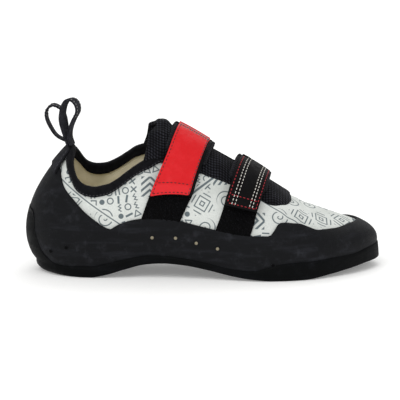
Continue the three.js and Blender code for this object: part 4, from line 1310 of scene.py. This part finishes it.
def shape_loop(scene, name, rows, node_name, glint_from, glint_to):
    """One pull loop of webbing, with pale stitches near its top."""
    path, wide, thin = loop_frame(rows, 141)
    across, level = stadium(WEBBING_WIDTH, WEBBING / 2, .5, 12)
    across = across - WEBBING_WIDTH / 2
    dish = .25 * np.cos(across / WEBBING_WIDTH * math.pi)
    points = (path[:, None] + wide[:, None] * across[None, :, None]
              + thin[:, None] * (level + dish)[None, :, None])
    piece(name, capped(points), "webbing", [node_name])
    stitches = bmesh.new()
    for place in (-.32, .32):
        for face in (-1, 1):
            lane = path + wide * (WEBBING_WIDTH * place) + thin * (face * (WEBBING / 2 + .18))
            part = slice(int(glint_from * len(path)), int(glint_to * len(path)))
            seam_row(stitches, lane[part], thin[part] * face, scene.shoe_sizes,
                     length=1.4, pitch=2.4)
    thread_piece(name + "_stitches", stitches, "grey_thread")


def shape_patch(name, rows, start, end, node_name, seed):
    """Looped pile under a strap, its surface tufted."""
    random.seed(seed)
    waves = [(random.uniform(.8, 2.2), random.uniform(.8, 2.2), random.uniform(0, FULL_TURN))
             for _ in range(6)]

    def tufts(along, share):
        across = share * 29
        return sum(.1 * np.sin(a * along + b * across + c) for a, b, c in waves)

    band = Band(rows, start, end, GAP, PATCH_WALL)
    points = band.slab(edge=.6, corner=.8, rows=70, count=40, lift=tufts)
    piece(name, close(sheet(points)), "pile", [node_name])


def shape_base(name, rows, wall, node_name):
    """Elastic band over the instep, its edges gathered into small lumps beside the strap."""
    band = Band(rows, -.43, 1.02, BASE_FOOT, wall)

    def lumps(along, share):
        edge = np.exp(-((share + .04) / .1) ** 2) + np.exp(-((share - 1.04) / .1) ** 2)
        turned = np.exp(-((along - 32) / 7) ** 2)
        return 1.2 * edge * turned

    points = band.slab(edge=.9, spread=BASE_EDGE, corner=2.5, rows=110, count=28, lift=lumps)
    piece(name, close(sheet(points)), "elastic", [node_name])


def cushion(along, share):
    """Soft crown of a strap, flat at its lower end."""
    return .3 * np.sin(np.clip(share, 0, 1) * math.pi) * smooth(0, 8, along)


def shape_red_strap(scene):
    """Red coated strap on a black backing: dark seams, a box at its end, frayed rows at its fold."""
    sizes = scene.shoe_sizes
    trimmed = {**BAND_REAR, "front": BAND_REAR["front"] - BACKING / SEAM_LENGTH}
    half = STRAP_WALL / 2
    backing = Band(BAND_REAR, *RED_ENDS, REAR_STRAP_FOOT, half, RED_SKEW)
    band = Band(trimmed, *RED_ENDS, REAR_STRAP_FOOT + half, half, RED_SKEW)

    piece("red_strap", close(sheet(band.slab(edge=.4, corner=1.6, lift=cushion))),
          "red", ["strap_rear"])
    piece("red_strap_backing", close(sheet(backing.slab(edge=.4, corner=1.6))),
          "black")
    dark, grey, black = bmesh.new(), bmesh.new(), bmesh.new()
    rim = sizes.inset / band.width
    fold = float(np.interp(FOLD_LINE, band.downs, band.lengths))
    along = np.linspace(1.2, fold - 1, 60)
    band_row(dark, band, along, rim, sizes, cushion)
    band_row(black, band, along, 1 - rim / 2, sizes, cushion, length=2.3)
    for row in (1.6, 9.6):
        band_row(dark, band, row, np.linspace(rim, 1 - rim, 60), sizes, cushion)
    for row, wobble in ((.2, 0), (1.5, 1.7), (2.7, 3.1), (4.1, 4.4)):
        across = np.linspace(.03, .97, 60)
        crooked = fold - row + .5 * np.sin(across * 37 + wobble)
        band_row(black if wobble == 3.1 else grey, band, crooked, across, sizes, cushion,
                 length=1.5, pitch=2.1)
    thread_piece("red_strap_seams", dark, "dark_thread")
    thread_piece("red_strap_edge_seam", black, "black_thread")
    thread_piece("red_strap_fold_stitches", grey, "grey_thread")


def shape_black_strap(scene):
    """Black coated strap: white double rows inside red rows, and a red box at its lower end."""
    band = Band(BAND_FRONT, *BLACK_ENDS, FRONT_STRAP_FOOT, STRAP_WALL)
    sizes = scene.shoe_sizes

    piece("black_strap", close(sheet(band.slab(edge=.6, corner=1.6, lift=cushion))),
          "black", ["strap_front"])
    white, red = bmesh.new(), bmesh.new()
    along = np.linspace(1.5, band.length - 1.5, 60)
    for across in (.2, .29, .71, .8):
        band_row(white, band, along, across, sizes, cushion)
    for across in (.07, .93):
        band_row(red, band, along, across, sizes, cushion)
    for row in (2.0, 8.4):
        band_row(red, band, row, np.linspace(.07, .93, 60), sizes, cushion)
    thread_piece("black_strap_white_rows", white, "white_thread")
    thread_piece("black_strap_red_rows", red, "red_thread")


def shape_insole(scene):
    """The footbed keeps its solid and gets a brushed textile."""
    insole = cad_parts["insole"]
    insole.data.materials.clear()
    insole.data.materials.append(finish("lining"))


# Stage
VIEW_MIDDLE = (-1.64, 0.0, 51.3)
VIEW_WIDTH = 292.8
CAMERA_DISTANCE = 9000
SENSOR = 36


def softbox(name, place, power, width, target=(0, 0, .05)):
    lamp = bpy.data.lights.new(name, "AREA")
    lamp.energy = power
    lamp.shape = "SQUARE"
    lamp.size = width
    made = bpy.data.objects.new(name, lamp)
    bpy.context.scene.collection.objects.link(made)
    made.location = place
    made.rotation_euler = (Vector(target) - Vector(place)).to_track_quat("-Z", "Y").to_euler()


def set_stage(scene):
    """Pale floor, soft lights and the camera at the photograph's angle."""
    bm = bmesh.new()
    bmesh.ops.create_grid(bm, x_segments=1, y_segments=1, size=6)
    mesh = bpy.data.meshes.new("studio_floor")
    bm.to_mesh(mesh)
    bm.free()
    floor = bpy.data.objects.new("studio_floor", mesh)
    scene.collection.objects.link(floor)
    mesh.materials.append(surface("studio_floor_paper", scene.shoe_colours.floor, .9, **{
        "Emission Color": scene.shoe_colours.floor, "Emission Strength": .22}))

    softbox("key_softbox", (-.5, -1.1, 1.5), 11, 1.4)
    softbox("fill_softbox", (1.3, -1.0, .7), 1.5, 1.2)
    softbox("back_softbox", (.2, 1.2, 1.3), 9, 1.4)
    world = scene.world or bpy.data.worlds.new("studio_world")
    scene.world = world
    world.use_nodes = True
    sky = world.node_tree.nodes.get("Background")
    sky.inputs["Color"].default_value = (1, 1, 1, 1)
    sky.inputs["Strength"].default_value = .7
    scene.view_settings.view_transform = "Standard"

    lens = bpy.data.cameras.new("photo_camera")
    lens.sensor_width = SENSOR
    lens.lens = SENSOR * CAMERA_DISTANCE / VIEW_WIDTH
    lens.clip_end = 100
    camera = bpy.data.objects.new("photo_camera", lens)
    scene.collection.objects.link(camera)
    tip = math.radians(ELEVATION)
    away = Vector((0, -math.cos(tip), math.sin(tip))) * CAMERA_DISTANCE
    camera.location = (Vector(VIEW_MIDDLE) + away) * MM
    camera.rotation_euler = (math.pi / 2 - tip, 0, 0)
    scene.camera = camera


# Operators and panel
def operator(name, label, about, work):
    """Operator class that runs one builder on the current scene."""
    def execute(self, context):
        work(context.scene)
        return {"FINISHED"}

    return type("SHOE_OT_" + name, (bpy.types.Operator,), {
        "bl_idname": "shoe." + name, "bl_label": label, "__doc__": about,
        "bl_options": {"REGISTER", "UNDO"}, "execute": execute})


def both_loops(scene):
    shape_loop(scene, "pull_loop_thin", LOOP_REAR, "pull_loop_rear", .36, .62)
    shape_loop(scene, "pull_loop_broad", LOOP_FRONT, "pull_loop_front", .5, .72)


def both_patches(scene):
    shape_patch("pile_patch_rear", BAND_REAR, -1.02, -.5, "loop_patch_rear", 3)
    shape_patch("pile_patch_front", BAND_FRONT, -1.02, -.62, "loop_patch_front", 5)


def both_bases(scene):
    shape_base("elastic_band_rear", BAND_REAR, BASE_WALL_REAR, "strap_base_rear")
    shape_base("elastic_band_front", BAND_FRONT, BASE_WALL_FRONT, "strap_base_front")


OPERATORS = [
    operator("set_stage", "Stage", "Add the floor, the lights and the camera", set_stage),
    operator("add_upper", "Upper", "Add the hollow printed upper with its lining", shape_upper),
    operator("add_rand", "Rand", "Add the rubber rand", shape_rand),
    operator("add_vents", "Vent holes", "Add the vent holes in the rand", shape_vents),
    operator("add_outsole", "Sole", "Add the sole with its heel strip", shape_outsole),
    operator("add_insole", "Footbed", "Give the footbed its textile", shape_insole),
    operator("add_tongue", "Tongue", "Add the knit tongue", shape_tongue),
    operator("add_binding", "Collar tape", "Add the folded collar tape", shape_binding),
    operator("add_heel_tab", "Heel patch", "Add the woven heel patch", shape_heel_tab),
    operator("add_loops", "Pull loops", "Add both webbing loops", both_loops),
    operator("add_patches", "Pile patches", "Add both loop-pile patches", both_patches),
    operator("add_bases", "Elastic bands", "Add both elastic bands", both_bases),
    operator("add_red_strap", "Red strap", "Add the red strap and its seams", shape_red_strap),
    operator("add_black_strap", "Black strap", "Add the black strap and its seams",
             shape_black_strap),
]


class SHOE_PT_pieces(bpy.types.Panel):
    """Lists the shoe's pieces, colours and sizes in the sidebar."""
    bl_label = "Climbing shoe"
    bl_idname = "SHOE_PT_pieces"
    bl_space_type = "VIEW_3D"
    bl_region_type = "UI"
    bl_category = "Shoe"

    def draw(self, context):
        for made in OPERATORS:
            self.layout.operator(made.bl_idname)
        for group in (context.scene.shoe_colours, context.scene.shoe_sizes):
            for name in type(group).__annotations__:
                self.layout.prop(group, name)


CLASSES = [ShoeColours, ShoeSizes, *OPERATORS, SHOE_PT_pieces]


def register():
    for made in CLASSES:
        bpy.utils.register_class(made)
    bpy.types.Scene.shoe_colours = bpy.props.PointerProperty(type=ShoeColours)
    bpy.types.Scene.shoe_sizes = bpy.props.PointerProperty(type=ShoeSizes)


def unregister():
    del bpy.types.Scene.shoe_sizes
    del bpy.types.Scene.shoe_colours
    for made in reversed(CLASSES):
        bpy.utils.unregister_class(made)


def main():
    register()
    for made in OPERATORS:
        group, name = made.bl_idname.split(".")
        getattr(getattr(bpy.ops, group), name)()


if __name__ == "__main__":
    main()
